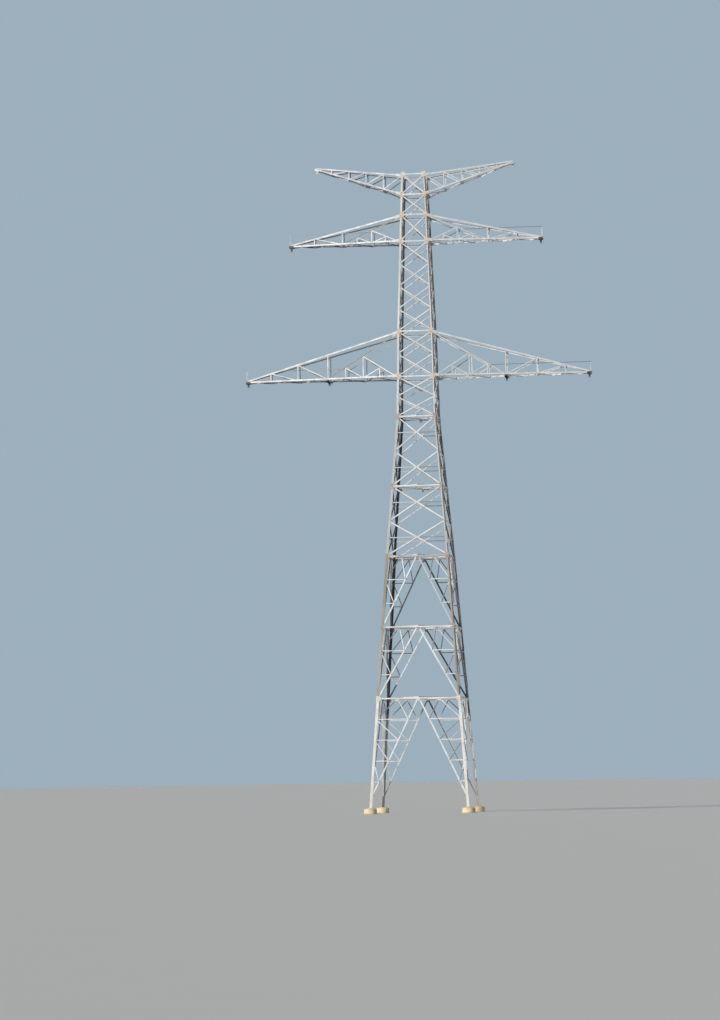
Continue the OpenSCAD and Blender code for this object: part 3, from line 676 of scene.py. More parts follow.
class Steel:
    """Finds the plates and flanges of the frame under a point."""

    REACH = 16.0     # how far outside the steel the search starts
    DEPTH = 34.0     # how far it goes
    JOINED = 1.05    # flanges closer than this are clamped together
    FLAT = 0.16      # how even the seat of a washer has to be
    STACK = 0.6, 9   # thinnest and thickest stack of flanges that a bolt clamps
    NUDGE = 1e-3     # lets a ray go on from the face that it hit
    SPAN = 400       # how far inside an arm its sides are looked for

    def __init__(self, nodes):
        points, faces = [], []
        for name in sorted(nodes):
            mesh = nodes[name].data
            start = len(points)
            points += [v.co / MM for v in mesh.vertices]
            faces += [tuple(start + i for i in p.vertices) for p in mesh.polygons]
        self.tree = BVHTree.FromPolygons(points, faces)

    def stack(self, point, out):
        """Depth of the first face, of the last clamped one, and the room behind."""
        origin, gone = point + out * self.REACH, 0.0
        first = last = None
        while gone < self.DEPTH:
            hit, normal, _, distance = self.tree.ray_cast(origin, -out, self.DEPTH - gone)
            if hit is None:
                break
            gone += distance + self.NUDGE
            depth = (point - hit).dot(out)
            if normal.dot(out) > 0:
                if first is None:
                    first = depth
                elif last is not None and depth - last > self.JOINED:
                    return first, last, depth - last
            elif first is not None:
                last = depth
            origin = hit - out * self.NUDGE
        return (first, last, self.DEPTH) if last is not None else None

    def seat(self, point, out, radius, room):
        """The two ends of a bolt at a point if washers sit flat there, or None."""
        found = self.stack(point, out)
        if found is None:
            return None
        first, last, free = found
        thin, thick = self.STACK
        if not thin < last - first < thick or free < room:
            return None
        frame_turn = frame_at(Vector(), out).to_3x3()
        for k in range(6):
            angle = math.pi * k / 3
            edge = frame_turn @ Vector((math.cos(angle), math.sin(angle), 0)) * radius
            head = self.tree.ray_cast(point + edge + out * self.REACH, -out, self.DEPTH)[0]
            if head is None or abs((point - head).dot(out) - first) > self.FLAT:
                return None
            start = point + edge - out * (last + room)
            nut = self.tree.ray_cast(start, out, room * 2)[0]
            if nut is None or abs((point - nut).dot(out) - last) > self.FLAT:
                return None
        return point - out * first, point - out * last

    def distance(self, point, direction):
        """How far the steel is from a point inside an arm, or None."""
        return self.tree.ray_cast(point, direction, self.SPAN)[3]


STEEL = Steel(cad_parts)


class Bolting:
    """Bolts of one piece, each seated on the steel and clear of the others."""

    taken = {}       # seats of all the bolts so far, by cell
    CELL = 6.0       # side of a cell, more than the widest washer
    CLEAR = 0.25     # between two washers
    SPIN = 1.05      # about a sixth of a turn, which a hexagon doesn't show
    NUDGES = 0, 1.2, -1.2, 2.4    # tried in turn along a bar

    def __init__(self, seed):
        self.shell = Shell()
        self.chance = random.Random(seed)
        self.parts = {}
        self.turn = Matrix.Identity(3)    # from the front face to the one being bolted

    def cell(self, place):
        return tuple(math.floor(c / self.CELL) for c in place)

    def is_clear(self, place, radius, gap):
        """Whether a round seat at a place is clear of all the bolts so far."""
        around = itertools.product(*((c - 1, c, c + 1) for c in self.cell(place)))
        return not any(
            (other - place).length < radius + other_radius + gap
            for key in around for other, other_radius in self.taken.get(key, ()))

    def fit(self, point, out, d):
        """Fits a bolt at a point if there is a seat and room for it."""
        out = self.turn @ out
        radius = WASHER * d
        seat = STEEL.seat(self.turn @ point, out, radius, NUT_ROOM * d)
        if seat is None or not self.is_clear(seat[0], radius, self.CLEAR):
            return False
        self.taken.setdefault(self.cell(seat[0]), []).append((seat[0], radius))
        if d not in self.parts:
            self.parts[d] = bolt_head(d), bolt_nut(d)
        for part, place, way in zip(self.parts[d], seat, (out, -out)):
            self.shell.add(*part, frame_at(place, way, self.chance.uniform(0, self.SPIN)))
        return True

    def fit_both(self, point, out, d):
        """Fits a bolt at a point on the left of the face, and its mirror image."""
        for side in (1, -1):
            mirror = Matrix.Diagonal((side, 1, 1))
            self.fit(mirror @ point, mirror @ out, d)

    def fit_end(self, end, other, out, d, steps):
        """Bolts along a bar, at steps from its end towards the other end."""
        along = (other - end).normalized()
        for step in steps:
            any(self.fit(end + along * (step + nudge), out, d) for nudge in self.NUDGES)

    def fit_ends(self, a, b, out, d, steps):
        self.fit_end(a, b, out, d, steps)
        self.fit_end(b, a, out, d, steps)

    def piece(self, name, slot):
        self.shell.piece(name, "bolt_zinc", slot)


def fitting_sizes(context):
    sizes = context.scene.pylon_fittings
    return sizes.heavy_bolt / MM, sizes.medium_bolt / MM, sizes.light_bolt / MM


def plate_places(z, columns, rows):
    """Points on the left leg of the front at a belt level: in from its heel, and up."""
    normal = face_normal(z - 1, z + 1)
    for v in rows:
        for u in columns:
            yield Vector((-half_w(z + v) + u, -half_w(z), z)) + face_up(normal) * v, normal


def lambda_bars():
    """Bars of the left half of the lower bracing on the front: ends and width."""
    levels = BELT_LEVELS[:3]
    panels = [(FOOT_RISE, levels[0], [levels[0] - i * LOW_BAY for i in range(1, 5)])]
    for z0, z1 in zip(levels, levels[1:]):
        bay = (z1 - z0) / 3
        panels.append((z0 + 2 * JOINT_STEP, z1, [z1 - bay, z1 - 2 * bay]))
    for foot_z, z1, bays in panels:
        foot = (-half_w(foot_z) + END_INSET + MAIN_W / 2, foot_z)
        apex = (-APEX_GAP, z1 - JOINT_STEP)
        mains = [
            (mix(foot[0], apex[0], (z - foot[1]) / (apex[1] - foot[1])), z) for z in bays
        ]
        legs = [(-half_w(z) + END_INSET, z) for z in bays]
        quarter = (-half_w(z1) / 2, z1 - JOINT_STEP)
        yield foot, apex, MAIN_W
        for on_leg, on_main in zip(legs, mains):
            yield on_leg, on_main, LIGHT_W
        for i in range(1, len(bays)):
            yield mains[i], legs[i - 1], LIGHT_W
        yield quarter, mains[0], LIGHT_W
        yield legs[0], quarter, LIGHT_W


def crossed_bars(z0, z1):
    """Ends of the two bars of a crossed panel."""
    low, high = z0 + JOINT_STEP, z1 - JOINT_STEP
    x0, x1 = half_w(low) - END_INSET, half_w(high) - END_INSET
    return ((-x0, low), (x1, high)), ((-x1, high), (x0, low))


def crossing(z0, z1):
    """Height at which the bars of a crossed panel meet."""
    return mix(z0, z1, half_w(z0) / (half_w(z0) + half_w(z1)))


def middle_panels():
    for z0, z1 in zip(BELT_LEVELS[2:], BELT_LEVELS[3:]):
        middle = (z0 + z1) / 2
        yield z0, middle
        yield middle, z1


def upper_panels():
    for z0, z1, count in zip(UPPER_LEVELS, UPPER_LEVELS[1:], UPPER_COUNTS):
        step = (z1 - z0) / count
        for i in range(count):
            yield z0 + i * step, z0 + (i + 1) * step


# Shares of an arm's height at which its posts and its diagonals end
POST_TOP, DIAGONAL_TOP = 0.97, 0.93


def conductor_bars(arm, main_x, outer):
    """Web bars on the front side of a conductor arm: ends as (x, share of height), bolts."""
    root_low = half_w(arm.root_z) + CHORD_W / 2
    root_high = half_w(arm.top_z) - CHORD_W / 2
    posts = [main_x, *outer]

    def on_long(t):
        x = mix(main_x, root_high, t)
        return x, t * (arm.top_z - arm.root_z - CHORD_W) / arm.height(x)

    mid, near = on_long(1 / 2), on_long(1 / 4)
    far = (mix(mid[0], root_low, 1 / 2), mid[1] * 0.38)
    yield from ((arm.foot(x), (x, POST_TOP), 2) for x in posts)
    yield from ((arm.foot(a), (b, DIAGONAL_TOP), 2) for a, b in zip(posts, posts[1:]))
    yield arm.foot(main_x), on_long(0.98), 2
    yield mid, arm.foot(root_low), 2
    yield from ((arm.foot(p[0]), p, 1) for p in (mid, near, far))
    yield from ((arm.foot(mid[0]), p, 1) for p in (near, far))


def peak_bars(arm, posts):
    """Web bars on the front side of an earth wire arm, in the same form."""
    for top, x in zip([half_w(arm.top_z), *posts], posts):
        yield arm.foot(x), (x, POST_TOP), 1
        yield arm.foot(x), (top, DIAGONAL_TOP), 1


ARM_BARS = [
    (LOWER_ARM, list(conductor_bars(LOWER_ARM, INNER_HANGER_X, LOWER_POSTS))),
    (UPPER_ARM, list(conductor_bars(UPPER_ARM, UPPER_POST_X, UPPER_POSTS))),
    (PEAK_ARM, list(peak_bars(PEAK_ARM, PEAK_POSTS))),
]


# Finish of each material slot, and of the nodes with one of these parts in their
# name, where the first part that fits counts
SLOT_FINISHES = {
    "galvanised_legs": "leg_zinc", "galvanised_bracing": "bracing_zinc",
    "galvanised_belts": "belt_zinc", "galvanised_arms": "arm_zinc",
    "galvanised_rails": "rail_zinc", "plates": "tan_plate", "concrete": "cast_concrete",
}
OWN_FINISHES = {
    "right_leg": "right_leg_zinc", "front_lower": "front_lower_zinc",
    "back_lower": "back_lower_zinc", "lower_bracing": "lower_bracing_zinc",
    "lower_belts": "lower_belt_zinc", "waist_belt": "waist_belt_zinc",
    "upper_belts": "upper_belt_zinc", "arm_belts": "arm_belt_zinc",
    "peak_right": "peak_right_zinc", "peak_left": "peak_left_zinc",
    "right_arm": "right_arm_zinc", "arm_floor": "arm_floor_zinc", "leg_splices": "leg_zinc",
    "left_middle": "side_bracing_zinc", "right_middle": "side_bracing_zinc",
    "left_upper": "side_bracing_zinc", "right_upper": "side_bracing_zinc",
    "middle_bracing": "middle_bracing_zinc", "conductor_hangers": "hanger_plate",
    "earth_wire_hangers": "arm_zinc",
}


class PYLON_OT_finishes(bpy.types.Operator):
    """Give every node of the frame its weathered finish, with painted light and shade"""

    bl_idname = "pylon.finishes"
    bl_label = "Weathered finishes"
    bl_options = {"REGISTER", "UNDO"}

    # Half the width of a main bar's painted tone of light and shade, and painted shade strips up
    # the legs: how far the middle is from the heel, half the width, and the tone between two
    # levels
    WORN_HALF, EDGE_INSET, EDGE_HALF = 0.01, 0.0045, 0.005
    EDGE_TONES = (
        (FIRST_BELT_Z, WAIST_Z, (0.13, 0.11, 0.09)),
        (WAIST_Z, BEND_Z, (0.17, 0.15, 0.125)),
        (BEND_Z, LOWER_TOP_Z, (0.17, 0.14, 0.12)),
        (LOWER_TOP_Z, TOP_Z, (0.17, 0.14, 0.12)),
    )

    def execute(self, context):
        look = context.scene.pylon_finish
        zinc, dull, grime_and_shade = look.zinc, look.zinc_dull, look.grime_and_shade
        arm_zinc, arm_dull = toned(zinc, 0.92), toned(dull, 0.92)
        usual = dict(bright=zinc, dull=dull, grime_and_shade=grime_and_shade, shade=look.shade, dirt=0.4)
        # Painted shade on the lower bracing's inner sides and undersides, little of it near the
        # ground
        lower = dict(inner=0.92, below=0.9, low=0.15)
        # Painted shade on one main bar of the front and painted light on one of the back
        front_bar, back_bar = self.painted_mains()
        along_arm = (0, 1, 0)
        crossings = [crossing(z0, z1) * MM for z0, z1 in middle_panels()]
        rails = [
            (LOWER_ROOT_Z + LOWER_RAIL_H - RAIL_D / 2) * MM,
            (UPPER_ROOT_Z + UPPER_RAIL_H - RAIL_D / 2) * MM,
        ]
        # In each finish, inner, below, low and high set the painted shade on the inner sides and
        # undersides, and rows and the bars paint light and shade on single bars
        zincs = {
            "leg_zinc": self.leg(look, 1.0, high=0.65),
            # The right legs: the leg patinas a tenth lighter, painted light, with strips of
            # painted shade up their outer edges
            "right_leg_zinc": self.leg(look, 1.1, worn_bars=self.painted_shade_edges()),
            "bracing_zinc": dict(inner=0.15, below=0.9),
            "lower_bracing_zinc": lower,
            "front_lower_zinc": dict(lower, worn_bars=[front_bar]),
            "back_lower_zinc": dict(lower, worn_bars=[back_bar]),
            # Painted shade on the halves of the light bars through the crossings, darker on the
            # right
            "middle_bracing_zinc": dict(
                inner=0.15, below=0.9,
                rows=(crossings, (0.62, 0.64, 0.65), (0.28, 0.31, 0.34))),
            # Painted shade on the side faces' inner sides and undersides, thinner beside the
            # arms
            "side_bracing_zinc": dict(dirt=0.6, inner=0.85, below=0.95, high=0.65),
            "belt_zinc": dict(below=0.7),
            "lower_belt_zinc": dict(
                below=0.25, ends=(LOWER_LEAN, look.plate_foot, [(FOOT_PLATES_TOP, look.leg)])),
            "waist_belt_zinc": dict(
                bright=(0.66, 0.61, 0.51), dull=(0.44, 0.41, 0.34), dirt=0.9, below=0.8,
                ends=(LOWER_LEAN, look.plate)),
            "upper_belt_zinc": dict(below=0.7, ends=(MIDDLE_LEAN, look.plate)),
            "arm_belt_zinc": dict(
                below=0.7,
                ends=(UPPER_LEAN, look.plate_top, [(CROWN_PLATES_FOOT, look.plate_crown)])),
            # Arms: painted shade in the grime colour on their inner sides and undersides
            "arm_zinc": dict(
                bright=arm_zinc, dull=arm_dull, shade=grime_and_shade, inner=0.35, axes=along_arm),
            "right_arm_zinc": dict(dirt=0.6, inner=0.15, axes=along_arm, below=0.6),
            "arm_floor_zinc": dict(dirt=0.9, inner=0.85, axes=along_arm, below=0.85),
            "peak_right_zinc": dict(dirt=0.5, inner=0.1, axes=along_arm, below=0.3),
            # The left earth wire arm: a duller copy of the zinc, painted shade, and more painted
            # shade below
            "peak_left_zinc": dict(
                bright=dull, dull=(0.5, 0.51, 0.515), dirt=0.5, inner=0.2, axes=along_arm,
                below=0.85),
            # Rails: painted shade below in the grime colour, and on their right halves
            "rail_zinc": dict(
                shade=grime_and_shade, metallic=0.4, rows=(rails, (0.62, 0.62, 0.60), (0.17, 0.17, 0.13))),
            # Bolts: painted shade on their undersides in the grime colour
            "bolt_zinc": dict(
                bright=dull, dull=(0.42, 0.41, 0.40), shade=grime_and_shade, dirt=0.7, metallic=0.45),
        }
        for name, own in zincs.items():
            zinc_material(name, **dict(usual, **own))
        plate_bands = [
            (FOOT_PLATES_TOP, look.plate), (ARM_PLATES_FOOT, look.plate_top),
            (CROWN_PLATES_FOOT, look.plate_crown),
        ]
        plate_material(
            "tan_plate", look.plate_foot, zinc, grime_and_shade, 0.35, plate_bands,
            (UPPER_LEAN, toned(arm_zinc, 0.9)))
        # The hangers: a near black tone, painted shade
        plate_material("hanger_plate", look.hanger, dull, grime_and_shade, 0.1)
        concrete_material("cast_concrete", look.concrete, grime_and_shade)
        for name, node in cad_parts.items():
            own = [finish for part, finish in OWN_FINISHES.items() if part in name]
            for place in node.material_slots:
                slot = place.material.name.split(".")[0]
                place.material = material_named(own[0] if own else SLOT_FINISHES[slot])
        return {"FINISHED"}

    @staticmethod
    def leg(look, tone, **settings):
        """Cream feet, and above them the patinas of the legs in a tone."""
        bands = [
            (level * MM, toned(patina, tone)) for level, patina in (
                (FIRST_BELT_Z, look.leg), (WAIST_Z, look.leg_waist), (BEND_Z, look.leg_top))
        ]
        return dict(
            bright=look.leg_foot, dull=toned(look.leg_foot, 0.86), bands=bands, dirt=0.6,
            inner=0.9, low=0.35, **settings)

    def painted_mains(self):
        """Painted shade on a main bar of the front, third panel, and painted light on the back,
        second.
        """
        mains = [
            [(x * MM, z * MM) for x, z in (a, b)] for a, b, w in lambda_bars() if w == MAIN_W]
        (x0, z0), (x1, z1) = mains[2]
        front = (-x0, z0), (-x1, z1), (0.54, 0.56, 0.59), self.WORN_HALF
        (x0, z0), (x1, z1) = mains[1]
        start = mix(x0, x1, 0.2), mix(z0, z1, 0.2)
        return front, (start, (x1, z1), (0.70, 0.72, 0.73), self.WORN_HALF)

    def painted_shade_edges(self):
        """Painted shade: dark strips up the outer edges of the right legs."""
        for z0, z1, tone in self.EDGE_TONES:
            a, b = ((half_w(z) * MM - self.EDGE_INSET, z * MM) for z in (z0, z1))
            yield a, b, tone, self.EDGE_HALF


class PYLON_OT_leg_bolts(bpy.types.Operator):
    """Bolt the gusset plates and splice covers to the legs"""

    bl_idname = "pylon.leg_bolts"
    bl_label = "Leg bolts"
    bl_options = {"REGISTER", "UNDO"}

    # Columns are shares of the leg's width or millimetres in from its heel, and rows
    # are millimetres up from the belt
    PLATE_SHARES, PLATE_ROWS = (0.3, 0.72), (-19.5, -13, 13, 19.5)
    BELT_COLUMNS, BELT_ROWS = (28, 35.5), (-0.5,)
    BRACE_COLUMNS, BRACE_ROWS = (31,), (-15, 15)
    SPLICE_SHARES, SPLICE_ROWS, SPLICE_EDGE, SPLICE_PITCH = (0.32, 0.74), 9, 8, 11.75

    def execute(self, context):
        heavy, medium, _ = fitting_sizes(context)
        arm_levels = [*ARM_LEVELS, TOP_PLATE_Z]
        for name, turns, more_levels in (
            ("front_back", (0, 180), arm_levels), ("left_right", (90, 270), []),
        ):
            gussets, splices = Bolting(11), Bolting(12)
            for degrees in turns:
                gussets.turn = splices.turn = turned(degrees)
                for z in BELT_LEVELS + more_levels:
                    self.plate(gussets, z, heavy if z < BEND_Z else medium)
                for z in (FIRST_BELT_Z, WAIST_Z, BEND_Z):
                    self.splice(splices, z, heavy if z < BEND_Z else medium)
            gussets.piece(f"{name}_gusset_bolts", "plates")
            splices.piece(f"{name}_splice_bolts", "plates")
        return {"FINISHED"}

    def plate(self, bolts, z, d):
        columns = [share * leg_w(z) for share in self.PLATE_SHARES]
        places = [
            *plate_places(z, columns, self.PLATE_ROWS),
            *plate_places(z, (*columns, *self.BELT_COLUMNS), self.BELT_ROWS),
            *plate_places(z, self.BRACE_COLUMNS, self.BRACE_ROWS),
        ]
        for point, normal in places:
            bolts.fit_both(point, normal, d)

    def splice(self, bolts, belt_z, d):
        w = leg_w(belt_z + 1)
        for row in range(self.SPLICE_ROWS):
            z = belt_z + SPLICE_LEN + self.SPLICE_EDGE + row * self.SPLICE_PITCH
            normal = face_normal(z - 1, z + 1)
            for share in self.SPLICE_SHARES:
                point = Vector((-half_w(z) + share * w, -half_w(z), z))
                bolts.fit_both(point, normal, d)


class PYLON_OT_bracing_bolts(bpy.types.Operator):
    """Bolt the ends and the crossings of the bracing on every face"""

    bl_idname = "pylon.bracing_bolts"
    bl_label = "Bracing bolts"
    bl_options = {"REGISTER", "UNDO"}

    # Steps of the bolts from the end of a bar, and the bolts of a plate in the middle
    # of a belt, across and up from the belt's line
    MAIN_STEPS, LIGHT_STEPS, CROSS_STEPS, TIE_STEPS = (6, 13.5, 21), (3.6,), (4.5, 10.5), (4,)
    BELT_PLATE = (-8, -1), (8, -1), (-8, -14), (8, -14), (0, -12)

    def execute(self, context):
        heavy, medium, light = fitting_sizes(context)
        for seed, (name, degrees) in enumerate(FACE_TURNS.items()):
            bolts = Bolting(20 + seed)
            bolts.turn = turned(degrees)
            self.lower(bolts, heavy, light)
            self.crossed(bolts, middle_panels(), medium, light)
            self.crossed(bolts, upper_panels(), light)
            self.belts(bolts, medium)
            bolts.piece(f"{name}_bracing_bolts", "galvanised_bracing")
        return {"FINISHED"}

    def lower(self, bolts, heavy, light):
        for a, b, w in lambda_bars():
            d, steps = (heavy, self.MAIN_STEPS) if w == MAIN_W else (light, self.LIGHT_STEPS)
            normal = face_normal(min(a[1], b[1]) - 1, max(a[1], b[1]) + 1)
            for side in (1, -1):
                p, q = face_point(side * a[0], a[1]), face_point(side * b[0], b[1])
                bolts.fit_ends(p, q, normal, d, steps)

    def crossed(self, bolts, panels, d, tie_d=None):
        """Bolts of crossed panels, and of the light bars through their crossings."""
        for z0, z1 in panels:
            normal = face_normal(z0, z1)
            for a, b in crossed_bars(z0, z1):
                bolts.fit_ends(face_point(*a), face_point(*b), normal, d, self.CROSS_STEPS)
            z = crossing(z0, z1)
            centre = face_point(0, z)
            bolts.fit(centre, normal, d)
            if tie_d:
                x = half_w(z) - END_INSET
                for side in (-x, x):
                    bolts.fit_end(face_point(side, z), centre, normal, tie_d, self.TIE_STEPS)

    def belts(self, bolts, d):
        for z in BELT_LEVELS:
            normal = face_normal(z - 1, z + 1)
            quarter = half_w(z) / 2
            for x in [0] if z > WAIST_Z else [0, quarter, -quarter]:
                for u, v in self.BELT_PLATE:
                    bolts.fit(face_point(x + u, z) + face_up(normal) * v, normal, d)


class PYLON_OT_arm_bolts(bpy.types.Operator):
    """Bolt the chords, webs and floors of the arms"""

    bl_idname = "pylon.arm_bolts"
    bl_label = "Arm bolts"
    bl_options = {"REGISTER", "UNDO"}

    # Steps from the ends of web bars, out from the body and back from the tip
    WEB_STEPS, ROOT_STEPS, TIP_STEPS = (4, 9.5), (7, 15.5, 24, 32.5), (6.5, 15, 23.5, 32)
    # In from the heels of the chords
    SIDE_GAUGE, FLOOR_GAUGE, CHEEK_GAUGE = 7, 8, 7.5
    # Floor bolts: the first out from the body, the last before the tip, and their pitch
    FLOOR_START, FLOOR_STOP, FLOOR_PITCH = 20, 60, 36

    def execute(self, context):
        _, medium, light = fitting_sizes(context)
        for seed, (name, degrees) in enumerate((("right", 0), ("left", 180))):
            bolts = Bolting(30 + seed)
            for arm, bars in ARM_BARS:
                for side in (1, -1):
                    bolts.turn = turned(degrees) @ Matrix.Diagonal((1, side, 1))
                    self.roots(bolts, arm, medium)
                    for a, b, count in bars:
                        ends = arm.side(*a), arm.side(*b)
                        bolts.fit_ends(*ends, arm.normal, light, self.WEB_STEPS[:count])
                    self.floor(bolts, arm, light)
                    self.tips(bolts, arm, medium)
            bolts.piece(f"{name}_arm_bolts", "galvanised_arms")
        return {"FINISHED"}

    def roots(self, bolts, arm, d):
        """Bolts through the wings of the gussets and the chords."""
        for out in self.ROOT_STEPS:
            for level in (arm.root_z, arm.top_z):
                x = half_w(level) + out
                share = self.SIDE_GAUGE / arm.height(x)
                if level == arm.top_z:
                    share = 1 - share
                bolts.fit(arm.side(x, share), arm.normal, d)

    def floor(self, bolts, arm, d):
        """Bolts through the floor bars and the bottom chords."""
        root_x = half_w(arm.root_z)
        along = (arm.low(arm.reach) - arm.low(root_x)).normalized()
        up = arm.normal.cross(along)
        up = up if up.z > 0 else -up
        x = root_x + self.FLOOR_START
        while x < arm.reach - self.FLOOR_STOP:
            bolts.fit(arm.low(x) - arm.normal * self.FLOOR_GAUGE + up * 2, up, d)
            x += self.FLOOR_PITCH

    def tips(self, bolts, arm, d):
        """Bolts through the cheeks of the tip hangers and the chords."""
        root_x = half_w(arm.root_z)
        spread = (root_x - TIP_HALF) / (arm.reach - root_x)
        normal = Vector((spread, -1, 0)).normalized()
        for back in self.TIP_STEPS:
            bolts.fit(arm.low(arm.reach - back) + UP * self.CHEEK_GAUGE, normal, d)


class PYLON_OT_step_bolts(bpy.types.Operator):
    """Set step bolts up two opposite legs"""

    bl_idname = "pylon.step_bolts"
    bl_label = "Step bolts"
    bl_options = {"REGISTER", "UNDO"}

    FIRST_Z, TOP_ROOM = 300.0, 60
    SHARES = 0.55, 0.42, 0.68    # of the leg's width, tried in turn
    CLEAR = 0.3                  # from the washers of other bolts

    def execute(self, context):
        sizes = context.scene.pylon_fittings
        pitch, reach = sizes.step_pitch / MM, sizes.step_reach / MM
        d = sizes.light_bolt / MM
        steps = Bolting(40)
        outside = joined([
            rings([(0.5 * d, -SINK), (0.5 * d, reach - 0.6 * d)], 8),
            hexagon(d, reach - 0.7 * d, reach - 0.12 * d, reach, 0.7),
            hexagon(d, 0, 0.75 * d, 0.85 * d, 0.72),
        ])
        inside = bolt_nut(d)
        for degrees in (90, 270):
            steps.turn = turned(degrees)
            z, second = self.FIRST_Z, False
            while z < TOP_Z - self.TOP_ROOM:
                found = self.seat(steps, z, second, d)
                if found:
                    head, nut, out = found
                    steps.shell.add(*outside, frame_at(head, out))
                    steps.shell.add(*inside, frame_at(nut, -out))
                z += pitch
                second = not second
        steps.piece("step_bolts", "galvanised_rails")
        return {"FINISHED"}

    def seat(self, steps, z, second, d):
        """Ends and direction of a step bolt on the first or second flange of the leg."""
        # The front left leg turned by 90 degrees is the front right one
        normal = face_normal(z - 1, z + 1)
        for share in self.SHARES:
            point, out = Vector((-half_w(z) + share * leg_w(z), -half_w(z), z)), normal
            if second:
                point, out = point.yxz, out.yxz
            out = steps.turn @ out
            seat = STEEL.seat(steps.turn @ point, out, WASHER * d, NUT_ROOM * d)
            if seat and steps.is_clear(seat[0], d, self.CLEAR):
                return *seat, out
        return None


class PYLON_OT_rail_fittings(bpy.types.Operator):
    """Add the ties, clamps, elbows and foot bolts of the handrails"""

    bl_idname = "pylon.rail_fittings"
    bl_label = "Handrail fittings"
    bl_options = {"REGISTER", "UNDO"}

    BALL, COLLAR = 1.42, 1.3    # radii of the elbow and its collars, in rail radii
    CLAMP = 0.9                 # from the rail to the middle of its clamp
    PLATE_BOLT, PLATE_GAUGE = 1.3, 5.6

    def execute(self, context):
        shell = Shell()
        r = RAIL_D / 2
        lower_end = mix(INNER_HANGER_X, half_w(LOWER_TOP_Z), 1 / 4)
        upper_end = mix(UPPER_POST_X, half_w(UPPER_TOP_Z), 1 / 2)
        rails = (
            (LOWER_ARM, LOWER_RAIL_H, (lower_end + 5, INNER_HANGER_X, LOWER_POSTS[0])),
            (UPPER_ARM, UPPER_RAIL_H, (upper_end + 5, UPPER_POST_X)),
        )
        for degrees in (0, 180):
            turn = turned(degrees).to_4x4()
            for arm, rail_h, ties in rails:
                top = arm.root_z + rail_h
                post_x = arm.reach - TIP_HALF / 2
                self.elbow(shell, turn, Vector((post_x, 0, top - r)), r)
                self.foot(shell, turn, Vector((post_x, 0, arm.root_z + BAR_T + GAP + PLATE_T)))
                for x in ties:
                    self.tie(shell, turn, x, top - 2 * r, r)
        shell.piece("rail_fittings", "rail_zinc", "galvanised_rails")
        return {"FINISHED"}

    def elbow(self, shell, turn, centre, r):
        ball_r = self.BALL * r
        angles = [math.pi * k / 8 for k in range(9)]
        ball = [(max(0.05, ball_r * math.sin(a)), -ball_r * math.cos(a)) for a in angles]
        shell.add(*rings(ball, 14), turn @ Matrix.Translation(centre))
        collar = rings(
            [(self.COLLAR * r, 0), (self.COLLAR * r, 2.2 * r), (1.12 * r, 2.5 * r)], 14)
        for way in (-UP, Vector((-1, 0, 0))):
            shell.add(*collar, turn @ frame_at(centre + way * 0.4 * r, way))

    def foot(self, shell, turn, centre):
        weld = rings([(3.4, -SINK), (2.9, 0.7), (2.05, 1.5)], 14)
        shell.add(*weld, turn @ Matrix.Translation(centre))
        for dx in (-self.PLATE_GAUGE, self.PLATE_GAUGE):
            for dy in (-self.PLATE_GAUGE, self.PLATE_GAUGE):
                place = Matrix.Translation(centre + Vector((dx, dy, 0)))
                shell.add(*bolt_head(self.PLATE_BOLT), turn @ place)

    def tie(self, shell, turn, x, z, r):
        """Flat tie across the arm under the rail, with a clamp over the rail."""
        ends = []
        for way in (-1, 1):
            direction = turn.to_3x3() @ Vector((0, way, 0))
            distance = STEEL.distance(turn @ Vector((x, 0, z - 1)), direction)
            if distance is None:
                raise RuntimeError(f"no steel beside the handrail at {x:.0f}")
            ends.append(distance)
        low, high = -ends[0] - 0.1, ends[1] + 0.1
        middle = Matrix.Translation((x, 0, z))
        quarter = middle @ Matrix.Rotation(math.pi / 2, 4, "Z")
        shell.add(*box_solid((low, -3, -1.2), (high, 3, 0)), turn @ quarter)
        arch = r + self.CLAMP
        arc = [
            Vector((0, arch * math.cos(a), arch * math.sin(a) + r))
            for a in (math.pi * k / 10 for k in range(11))
        ]
        hoop = [Vector((0, arch, -3.2)), *arc, Vector((0, -arch, -3.2))]
        shell.add(*tube(hoop, 0.55, 6), turn @ middle)
        nut = rings([(1.1, 0), (1.1, 0.9), (0.9, 1.1)], 6)
        for way in (-1, 1):
            shell.add(*nut, turn @ frame_at(Vector((x, way * arch, z - 1.2)), -UP))


